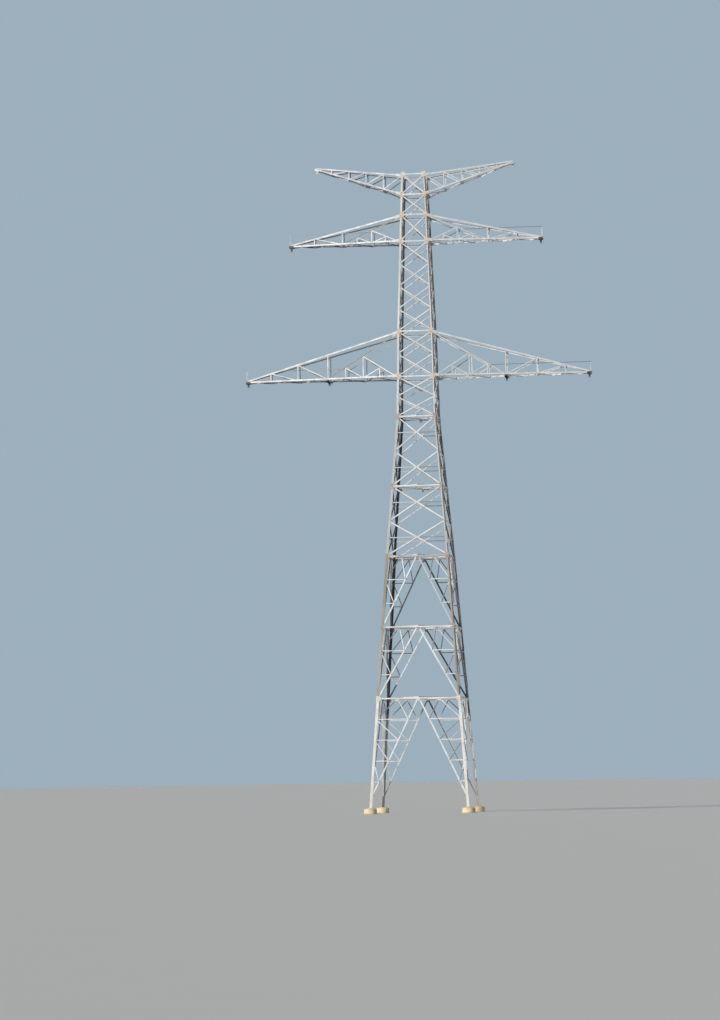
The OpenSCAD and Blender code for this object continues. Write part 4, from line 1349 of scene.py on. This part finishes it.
class PYLON_OT_cap_details(bpy.types.Operator):
    """Add the mortar around the leg feet and the earthing strips"""

    bl_idname = "pylon.cap_details"
    bl_label = "Cap details"
    bl_options = {"REGISTER", "UNDO"}

    MORTAR = (28, -SINK), (27, 1.2), (24.5, 2.8), (21.5, 4.3), (18, 5.2), (6, 5.6)
    SWELL, BUMPS = 0.03, 0.4    # how rough the mortar is, across and up
    STRIP_X, STRIP_W, STRIP_T = 14, 3.4, 0.5

    def execute(self, context):
        mortar, strips = Shell(), Shell()
        chance = random.Random(50)
        centre = half_w(CAP_H) - LOWER_LEG_W / 3
        points, faces = rings(self.MORTAR, 40)
        for degrees in (0, 90, 180, 270):
            rough = []
            for x, y, z in points:
                swell = 1 + self.SWELL * chance.uniform(-1, 1)
                rise = 0 if z < 0 else chance.uniform(0, self.BUMPS)
                rough.append((x * swell, y * swell, z + rise))
            place = Matrix.Translation((-centre, -centre, CAP_H))
            mortar.add(rough, faces, turned(degrees).to_4x4() @ place)
        for degrees in (90, 270):
            self.strip(strips, turned(degrees).to_4x4(), centre)
        mortar.piece("leg_mortar", "cast_concrete", "concrete")
        strips.piece("earthing_strips", "rail_zinc", "galvanised_rails")
        return {"FINISHED"}

    def strip(self, shell, turn, centre):
        """Strip from the inside of a leg over the cap and down to the ground."""

        def on_leg(z, off):
            return Vector((-half_w(z) + self.STRIP_X, -half_w(z) + LEG_T + off, z))

        start = [on_leg(z, 0.2) for z in (96, 84, 72, 60)]
        x, y, _ = start[-1]
        rim = CAP_D / 2 - centre
        bends = (
            (y + 1.5, 56.5), (y + 6, 53.5), (y + 16, 50.6), (rim - 16, 50.4), (rim - 8, 47),
            (rim + 0.3, 41.5), (rim + 0.4, 30), (rim + 0.4, 12), (rim + 0.4, 0.2),
        )
        path = start + [Vector((x, along, z)) for along, z in bends]
        flat = strip(path, Vector((1, 0, 0)), self.STRIP_W, self.STRIP_T)
        shell.add(*flat, turn)
        for z in (92, 80):
            place = on_leg(z, 0.2 + self.STRIP_T)
            shell.add(*bolt_head(1.2), turn @ frame_at(place, Vector((0, 1, 0))))


class PYLON_OT_stage(bpy.types.Operator):
    """Set the floor, backdrop, lamps and camera"""

    bl_idname = "pylon.stage"
    bl_label = "Studio stage"
    bl_options = {"REGISTER", "UNDO"}

    AZIMUTH, PITCH, ROLL, PAN = 6.47, 4.676, -0.874, -1.057
    FLOOR_HALF, LAMP_DISTANCE = 160, 12

    def execute(self, context):
        studio = context.scene.pylon_studio
        self.floor(context, studio)
        self.world(context, studio)
        self.lamps(context, studio)
        self.camera(context, studio)
        context.scene.view_settings.view_transform = "Standard"
        return {"FINISHED"}

    def floor(self, context, studio):
        mesh = bpy.data.meshes.new("studio_floor")
        size = self.FLOOR_HALF
        corners = [(-size, -size, 0), (size, -size, 0), (size, size, 0), (-size, size, 0)]
        mesh.from_pydata(corners, [], [(0, 1, 2, 3)])
        g = material_graph("floor_paint")
        colour = g.scaled(tuple(studio.floor_colour), 0.985 + 0.03 * g.noise(3, 3))
        g.finish(colour, 0.85, 0.0, g.bumped(g.noise(40, 2), 0.0004, 0.2), 0.2)
        mesh.materials.append(material_named("floor_paint"))
        floor = bpy.data.objects.new("studio_floor", mesh)
        context.scene.collection.objects.link(floor)

    @staticmethod
    def world(context, studio):
        world = bpy.data.worlds.new("studio_air")
        world.use_nodes = True
        context.scene.world = world
        g = Graph(world.node_tree)
        camera = g.node("ShaderNodeLightPath", output="Is Camera Ray")
        glossy = g.node("ShaderNodeLightPath", output="Is Glossy Ray")
        through = g.node("ShaderNodeLightPath", output="Is Transmission Ray")
        seen = (camera + glossy + through).clipped()
        even = g.node("ShaderNodeBackground", None, {
            "Color": (0.93, 0.97, 1.0, 1), "Strength": studio.ambient})
        backdrop = g.node("ShaderNodeBackground", None, {
            "Color": (*studio.backdrop_colour, 1), "Strength": 1.0})
        both = g.node("ShaderNodeMixShader", None, {0: seen, 1: even, 2: backdrop})
        g.node("ShaderNodeOutputWorld", None, {"Surface": both})

    def lamps(self, context, studio):
        lamps = (
            ("key_light", studio.key_strength, (1.0, 0.975, 0.94), (-0.64, -0.68, 0.34), 6),
            ("fill_light", studio.fill_strength, (0.9, 0.95, 1.0), (0.8, -0.5, 0.4), 60),
            ("back_light", studio.back_strength, (0.93, 0.97, 1.0), (0.2, 0.88, 0.42), 50),
        )
        for name, strength, colour, come_from, spread in lamps:
            lamp = bpy.data.lights.new(name, "SUN")
            lamp.energy = strength
            lamp.color = colour
            lamp.angle = math.radians(spread)
            obj = bpy.data.objects.new(name, lamp)
            obj.rotation_euler = Vector(come_from).to_track_quat("Z", "Y").to_euler()
            obj.location = Vector(come_from) * self.LAMP_DISTANCE
            context.scene.collection.objects.link(obj)

    def camera(self, context, studio):
        """The photograph's camera: round the tower, then panned, pitched and rolled."""
        az, pitch, roll, pan = (
            math.radians(v) for v in (self.AZIMUTH, self.PITCH, self.ROLL, self.PAN))
        ahead = Vector((-math.sin(az), math.cos(az), 0))
        right = Vector((math.cos(az), math.sin(az), 0))
        ahead, right = (
            ahead * math.cos(pan) + right * math.sin(pan),
            right * math.cos(pan) - ahead * math.sin(pan),
        )
        up = -ahead * math.sin(pitch) + UP * math.cos(pitch)
        ahead = ahead * math.cos(pitch) + UP * math.sin(pitch)
        right, up = (
            right * math.cos(roll) + up * math.sin(roll),
            up * math.cos(roll) - right * math.sin(roll),
        )
        data = bpy.data.cameras.new("camera")
        data.lens = studio.camera_lens
        data.sensor_width = 36
        data.clip_start, data.clip_end = 0.1, 600
        camera = bpy.data.objects.new("camera", data)
        rows = Matrix((right, up, -ahead)).transposed().to_4x4()
        distance = studio.camera_distance
        place = Vector((
            distance * math.sin(az), -distance * math.cos(az), studio.camera_height))
        camera.matrix_world = Matrix.Translation(place) @ rows
        context.scene.collection.objects.link(camera)
        context.scene.camera = camera


class PYLON_PT_panel(bpy.types.Panel):
    """Steps that dress the pylon, in order"""

    bl_idname = "PYLON_PT_panel"
    bl_label = "Lattice pylon"
    bl_space_type = "VIEW_3D"
    bl_region_type = "UI"
    bl_category = "Pylon"

    def draw(self, context):
        layout = self.layout
        for step in STEPS:
            layout.operator(step.bl_idname)
        for group in ("pylon_fittings", "pylon_finish", "pylon_studio"):
            settings = getattr(context.scene, group)
            box = layout.box()
            for name in settings.bl_rna.properties.keys():
                if name not in ("rna_type", "name"):
                    box.prop(settings, name)


STEPS = (
    PYLON_OT_stage, PYLON_OT_finishes, PYLON_OT_leg_bolts, PYLON_OT_bracing_bolts,
    PYLON_OT_arm_bolts, PYLON_OT_step_bolts, PYLON_OT_rail_fittings, PYLON_OT_cap_details,
)
GROUPS = {
    "pylon_fittings": PylonFittings, "pylon_finish": PylonFinish, "pylon_studio": PylonStudio,
}


def register():
    for cls in (*GROUPS.values(), *STEPS, PYLON_PT_panel):
        bpy.utils.register_class(cls)
    for name, group in GROUPS.items():
        setattr(bpy.types.Scene, name, PointerProperty(type=group))


def unregister():
    for name in GROUPS:
        delattr(bpy.types.Scene, name)
    for cls in reversed((*GROUPS.values(), *STEPS, PYLON_PT_panel)):
        bpy.utils.unregister_class(cls)


def main():
    register()
    for step in STEPS:
        group, name = step.bl_idname.split(".")
        getattr(getattr(bpy.ops, group), name)()


if __name__ == "__main__":
    main()
